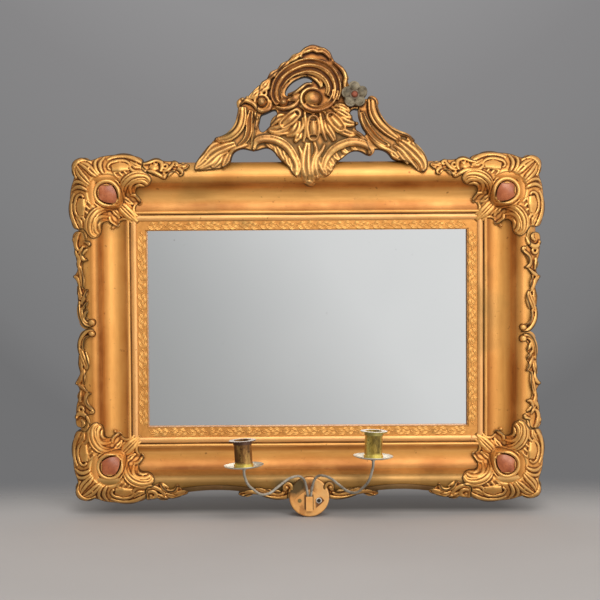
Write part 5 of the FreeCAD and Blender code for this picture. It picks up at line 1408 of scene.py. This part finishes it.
# %% [markdown]
# ## Clearing the bench
# The cross-sections were only tools, so they are taken away before the room is set up.

# %% Put the drawing tools away
for gouge in GOUGES.values():
    bpy.data.objects.remove(gouge)
print("tools put away:", len(GOUGES))

# %% [markdown]
# ## Floor, backdrop and light
# The frame stands upright on a pale floor, its foot boss touching it. The floor fades out behind
# into a plain grey backdrop, which is the world as the camera sees it. The glass reflects a soft
# white wall behind the camera, brighter to the upper right, and the room's sides are dim, so the
# steep side of the cove goes dark. Two broad lamps, one above and one in front on the right, give
# the soft shadows, and a painted shadow darkens the floor right under the frame.

# %% Make the floor
FLOOR_GAP = 0.0002
FLOOR_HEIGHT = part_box("roundel")[0].z - FLOOR_GAP
FLOOR_MIDDLE = -0.55
FLOOR_HALF = (1.5, 0.9)

pick()
bpy.ops.mesh.primitive_circle_add(vertices=96, radius=1.0, fill_type="NGON",
                                  location=(0, FLOOR_MIDDLE, FLOOR_HEIGHT))
bpy.ops.transform.resize(value=(*FLOOR_HALF, 1.0))
bpy.ops.object.transform_apply(location=True, rotation=True, scale=True)
floor = bpy.context.object
floor.name = "floor"
recipe, _, paper = mottled("floor_pale", 3.0, [(0.3, 182, 179, 178), (0.7, 188, 185, 184)],
                           2.0, 0.5)
middle = recipe.vector("SUBTRACT", recipe.place, (0, FLOOR_MIDDLE, FLOOR_HEIGHT), "Vector")
out = recipe.vector("LENGTH", recipe.stretch(1 / FLOOR_HALF[0], 1 / FLOOR_HALF[1], 0, middle))
fade = recipe.ramp(out, [(0.6, 1.0), (0.95, 0.0)], True)
# A painted shadow darkens the floor right under the frame.
deep_way = recipe.ramp(recipe.sum("MULTIPLY_ADD", recipe.along("Y"), 4.0, 0.3),
                       [(0.2, 0.0), (0.34, 0.7), (0.7, 0.7), (0.9, 0.0)])
wide_way = recipe.ramp(recipe.sum("ABSOLUTE", recipe.along("X")), [(0.26, 1.0), (0.33, 0.0)])
paper = recipe.blend(recipe.sum("MULTIPLY", deep_way, wide_way), paper, rgb(64, 60, 58))
recipe.finish(paper, 0.9, Alpha=fade)
floor.data.materials.append(recipe.material)
floor.visible_glossy = False
print("floor laid at", round(FLOOR_HEIGHT / MM, 1), "mm")

# %% Light the room
world = bpy.data.worlds.new("studio")
bpy.context.scene.world = world
world.use_nodes = True
world.node_tree.nodes.clear()
sky = Network(world, "Generated")


def sky_ramp(weights, offset, stops, side_fall=0.0):
    """A grey that changes with the way a ray goes: weights dot direction, plus the offset."""
    rise = sky.sum("ADD", sky.vector("DOT_PRODUCT", sky.place, weights), offset)
    aside = sky.along("X")
    fall = sky.sum("MULTIPLY_ADD", sky.sum("MULTIPLY", aside, aside), -side_fall, rise)
    return sky.add("Background", Color=sky.ramp(fall, stops)).outputs[0]


# Seen by the camera: darker towards the floor line, and a little towards both sides.
backdrop = sky_ramp((0, 0, 3.0), 0.5, [(0.0, 113, 113, 114), (0.1, 121, 121, 122),
                                       (0.3, 127, 127, 128), (0.7, 135, 134, 135),
                                       (0.92, 145, 144, 145)], 7.0)
# Seen in the gilding and the glass: a bright wall before the frame, brighter to the right, and
# dim sides to the room.
WALL_GREYS = {0.2: 162, 0.34: 174, 0.45: 189, 0.6: 213, 0.7: 229, 0.8: 233, 0.95: 238}
reflected = sky_ramp((2.3, -1.0, 1.6), -0.32, [(0.0, 126, 124, 122)]
                     + [(position, grey, grey, grey) for position, grey in WALL_GREYS.items()])
# Light that falls on everything.
falling = sky.add("Background", Color=rgb(255, 252, 248), Strength=0.55).outputs[0]
rays = sky.add("LightPath")
seen = sky.fill(sky.add("MixShader"), (rays.outputs["Is Glossy Ray"], falling, reflected))
seen = sky.fill(sky.add("MixShader"), (rays.outputs["Is Camera Ray"], seen, backdrop))
sky.add("OutputWorld", Surface=seen)


LAMP_COLOUR = (1.0, 0.97, 0.93)


def lamp(name, place, aim, size, power):
    bpy.ops.object.light_add(type="AREA", location=place)
    light = bpy.context.object
    light.name = name
    light.data.shape = "DISK"
    light.data.size = size
    light.data.energy = power
    light.data.color = LAMP_COLOUR
    light.rotation_euler = (Vector(aim) - Vector(place)).to_track_quat("-Z", "Y").to_euler()


lamp("lamp_above", (0.2, -1.9, 1.3), (0, 0, 0), 1.3, 20.0)
lamp("lamp_front_right", (1.2, -2.2, 0.5), (0, 0, 0.05), 1.2, 13.0)
# The glass in the photograph shows nothing of the candle branch.
for piece_name in ("candle_cup", "cup_rim", "drip_pan", "candle_arm"):
    for side in ("left", "right"):
        NODES[piece_name + "_" + side].visible_glossy = False
print("stage and lights ready")
